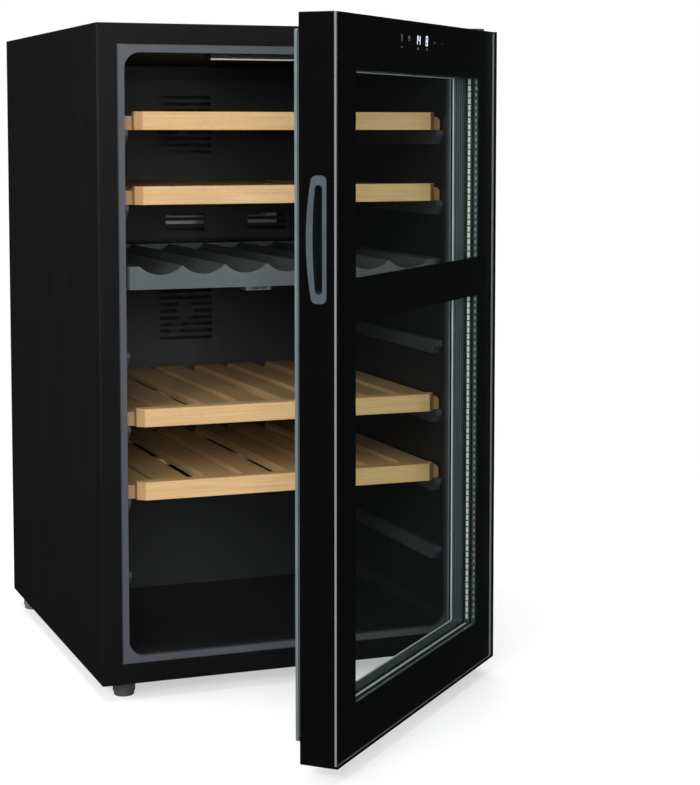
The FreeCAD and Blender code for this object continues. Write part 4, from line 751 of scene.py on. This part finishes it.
mesh = bmesh.new()
lamp_mark_x, power_mark_x = door_low.x + 0.187, door_low.x + 0.209
lower_marks_z = display_middle.z - 0.0095
thin = 0.0005
bulb_radius, cap_half = 0.0022, 0.0013
ring(mesh, (lamp_mark_x, digits_z + bulb_radius), bulb_radius, thin)
for drop in (0.001, 0.002, 0.003):
    bar(mesh, (lamp_mark_x - cap_half, digits_z - drop),
        (lamp_mark_x + cap_half, digits_z - drop), thin)
power_radius, power_z, power_tip = 0.0026, digits_z + 0.001, digits_z + 0.0044
ring(mesh, (power_mark_x, power_z), power_radius, thin, math.radians(125), math.radians(290))
bar(mesh, (power_mark_x, power_z), (power_mark_x, power_tip), thin)
zone_half, set_half, key_half = 0.0026, 0.003, 0.0014
for x in (pair_x + 0.004, single_x + digit_width / 2):
    for rise in (-0.0008, 0.0008):
        bar(mesh, (x - zone_half, lower_marks_z + rise), (x + zone_half, lower_marks_z + rise),
            thin)
bar(mesh, (lamp_mark_x - set_half, lower_marks_z), (lamp_mark_x + set_half, lower_marks_z), thin)
key_z = digits_z - 0.001
for key_x, is_plus in ((0.288, True), (0.311, False)):
    x = door_low.x + key_x
    bar(mesh, (x - key_half, key_z), (x + key_half, key_z), thin)
    if is_plus:
        bar(mesh, (x, key_z - key_half), (x, key_z + key_half), thin)
keep(mesh, "display_marks", mark_light, "door", door_place)

# ---------------------------------------------------------------- hinges and their screws
# Pressed steel brackets in black coat carry the two pins the door turns on. Zinc-plated
# pan-head screws with a cross recess hold them to the cabinet.

dress(black_sheet, "hinge_top", "hinge_bottom")
head_radius, head_height, shank_radius, shank_length = 0.0038, 0.002, 0.002, 0.0115
dome = [(head_radius * math.cos(turn), head_height * (0.25 + 0.75 * math.sin(turn)))
        for turn in [math.radians(15 * step) for step in range(6)]]
profile = [(0, -shank_length), (shank_radius * 0.5, -shank_length),
           (shank_radius, -shank_length + 0.001), (shank_radius, 0), (head_radius, 0),
           *dome, (0, head_height)]
mesh = bmesh.new()
outline = [mesh.verts.new((radius, 0, height)) for radius, height in profile]
edges = [mesh.edges.new(pair) for pair in zip(outline, outline[1:])]
bmesh.ops.spin(mesh, geom=outline + edges, axis=(0, 0, 1), cent=(0, 0, 0), steps=32,
               angle=2 * math.pi)
bmesh.ops.remove_doubles(mesh, verts=mesh.verts, dist=1e-6)
bmesh.ops.recalc_face_normals(mesh, faces=mesh.faces)
screw_mesh = bpy.data.meshes.new("screw_blank")
mesh.to_mesh(screw_mesh)
mesh.free()
blank = bpy.data.objects.new("screw_blank", screw_mesh)
recess_length, recess_width, recess_depth = 0.0042, 0.0009, 0.0015
cross_mesh = bmesh.new()
for turn in (0, math.pi / 2):
    size = Matrix.Diagonal((recess_length, recess_width, 2 * recess_depth, 1))
    bmesh.ops.create_cube(cross_mesh, size=1.0, matrix=Matrix.Translation((0, 0, head_height))
                          @ Matrix.Rotation(turn, 4, "Z") @ size)
cross_data = bpy.data.meshes.new("screw_cross")
cross_mesh.to_mesh(cross_data)
cross_mesh.free()
cross = bpy.data.objects.new("screw_cross", cross_data)
for one in (blank, cross):
    bpy.context.scene.collection.objects.link(one)
recess = blank.modifiers.new("recess", "BOOLEAN")
recess.object, recess.operation = cross, "DIFFERENCE"
recess.solver, recess.use_self = "EXACT", True
graph = bpy.context.evaluated_depsgraph_get()
cut_mesh = bpy.data.meshes.new_from_object(blank.evaluated_get(graph), depsgraph=graph)
bpy.data.objects.remove(blank)
bpy.data.objects.remove(cross)
bracket_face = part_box("hinge_screws")[0].y + head_height
half_width = shell_high.x
top_row, bottom_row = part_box("top_panel")[1].z - 0.010, shell_low.z + 0.009
top_insets, bottom_insets = (0.043, 0.023), (0.047, 0.033)
spots = [(half_width - inset, z) for insets, z in ((top_insets, top_row),
                                                   (bottom_insets, bottom_row))
         for inset in insets]
recess_turn = 0.6
mesh = bmesh.new()
for index, (x, z) in enumerate(spots):
    part = cut_mesh.copy()
    part.transform(Matrix.Translation((x, bracket_face, z)) @ Matrix.Rotation(math.pi / 2, 4, "X")
                   @ Matrix.Rotation(recess_turn * index, 4, "Z"))
    mesh.from_mesh(part)
hinge_screws = keep(mesh, "cross_head_screws", zinc_plate, "cabinet")
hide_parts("hinge_screws")

# ---------------------------------------------------------------- floor, light and camera
# A plain white studio: the floor runs into a white background, broad soft boxes light the
# front from the left and the right, and mirrors see a dark room, so black finishes stay black.

floor_half = 9.0
floor_mesh = bmesh.new()
bmesh.ops.create_grid(floor_mesh, x_segments=1, y_segments=1, size=floor_half)
floor_data = bpy.data.meshes.new("floor")
floor_mesh.to_mesh(floor_data)
floor_mesh.free()
floor = bpy.data.objects.new("floor", floor_data)
bpy.context.scene.collection.objects.link(floor)
finish, tree, spot = begin("studio_floor")
paper = add(tree, "ShaderNodeBsdfDiffuse", {"Color": linear("f9f9f9")})
lit = add(tree, "ShaderNodeEmission", {"Color": (1, 1, 1, 1), "Strength": 1.0})
reach = add(tree, "ShaderNodeVectorMath", {0: spot}, operation="LENGTH").outputs["Value"]
far = add(tree, "ShaderNodeMapRange",
          {"Value": reach, "From Min": 0.7, "From Max": 1.5, "To Min": 0.5},
          interpolation_type="SMOOTHSTEP").outputs["Result"]
sweep = add(tree, "ShaderNodeMixShader", {0: far, 1: paper.outputs[0], 2: lit.outputs[0]})
add(tree, "ShaderNodeOutputMaterial", {"Surface": sweep.outputs[0]})
floor_data.materials.append(finish)
floor.visible_glossy = False
floor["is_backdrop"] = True

world = bpy.data.worlds.new("studio")
bpy.context.scene.world = world
world.use_nodes = True
tree = world.node_tree
tree.nodes.clear()
ambient = add(tree, "ShaderNodeBackground", {"Color": linear("eef3f8"), "Strength": 0.22})
white = add(tree, "ShaderNodeBackground", {"Color": (1, 1, 1, 1), "Strength": 1.0})
dark = add(tree, "ShaderNodeBackground", {"Color": linear("eef3f8"), "Strength": 0.03})
path = add(tree, "ShaderNodeLightPath").outputs
room = add(tree, "ShaderNodeMixShader", {0: path["Is Glossy Ray"], 1: ambient.outputs[0],
                                         2: dark.outputs[0]})
sky = add(tree, "ShaderNodeMixShader", {0: path["Is Camera Ray"], 1: room.outputs[0],
                                        2: white.outputs[0]})
add(tree, "ShaderNodeOutputWorld", {"Surface": sky.outputs[0]})


def soft_box(name, place, target, width, height, power):
    """A rectangular lamp that faces its target."""
    light = bpy.data.lights.new(name, "AREA")
    light.shape = "RECTANGLE"
    light.size, light.size_y, light.energy = width, height, power
    made = bpy.data.objects.new(name, light)
    made.location = place
    made.rotation_euler = (Vector(target) - Vector(place)).to_track_quat("-Z", "Y").to_euler()
    bpy.context.scene.collection.objects.link(made)


centre = (0, -0.1, 0.45)
soft_box("key_box", (-2.3, -2.7, 1.9), centre, 1.2, 1.2, 62)
soft_box("view_box", (-0.9, -2.9, 1.1), centre, 0.9, 0.9, 46)
soft_box("front_box", (0.7, -3.4, 1.2), centre, 1.4, 1.8, 22)
soft_box("side_box", (-3.0, 0.4, 1.4), centre, 1.6, 2.2, 70)
soft_box("top_box", (0, 0.2, 3.2), (0, 0, 0.8), 2.6, 2.6, 90)
soft_box("rear_box", (1.2, 3.2, 2.0), centre, 2.0, 2.0, 70)

camera = bpy.data.objects.new("camera", bpy.data.cameras.new("camera"))
camera.location = (-0.8013, -2.5536, 0.702)
camera.rotation_euler = (math.radians(85.33), 0, math.radians(-21.01))
camera.data.sensor_width = 36
camera.data.lens = 88.68
camera.data.shift_x, camera.data.shift_y = 0.0033, -0.1338
bpy.context.scene.collection.objects.link(camera)
bpy.context.scene.camera = camera
bpy.context.scene.view_settings.view_transform = "Standard"
# Light crosses six faces of glass on its way in and six on its way out to the eye.
bpy.context.scene.cycles.transparent_max_bounces = 24

low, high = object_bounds()
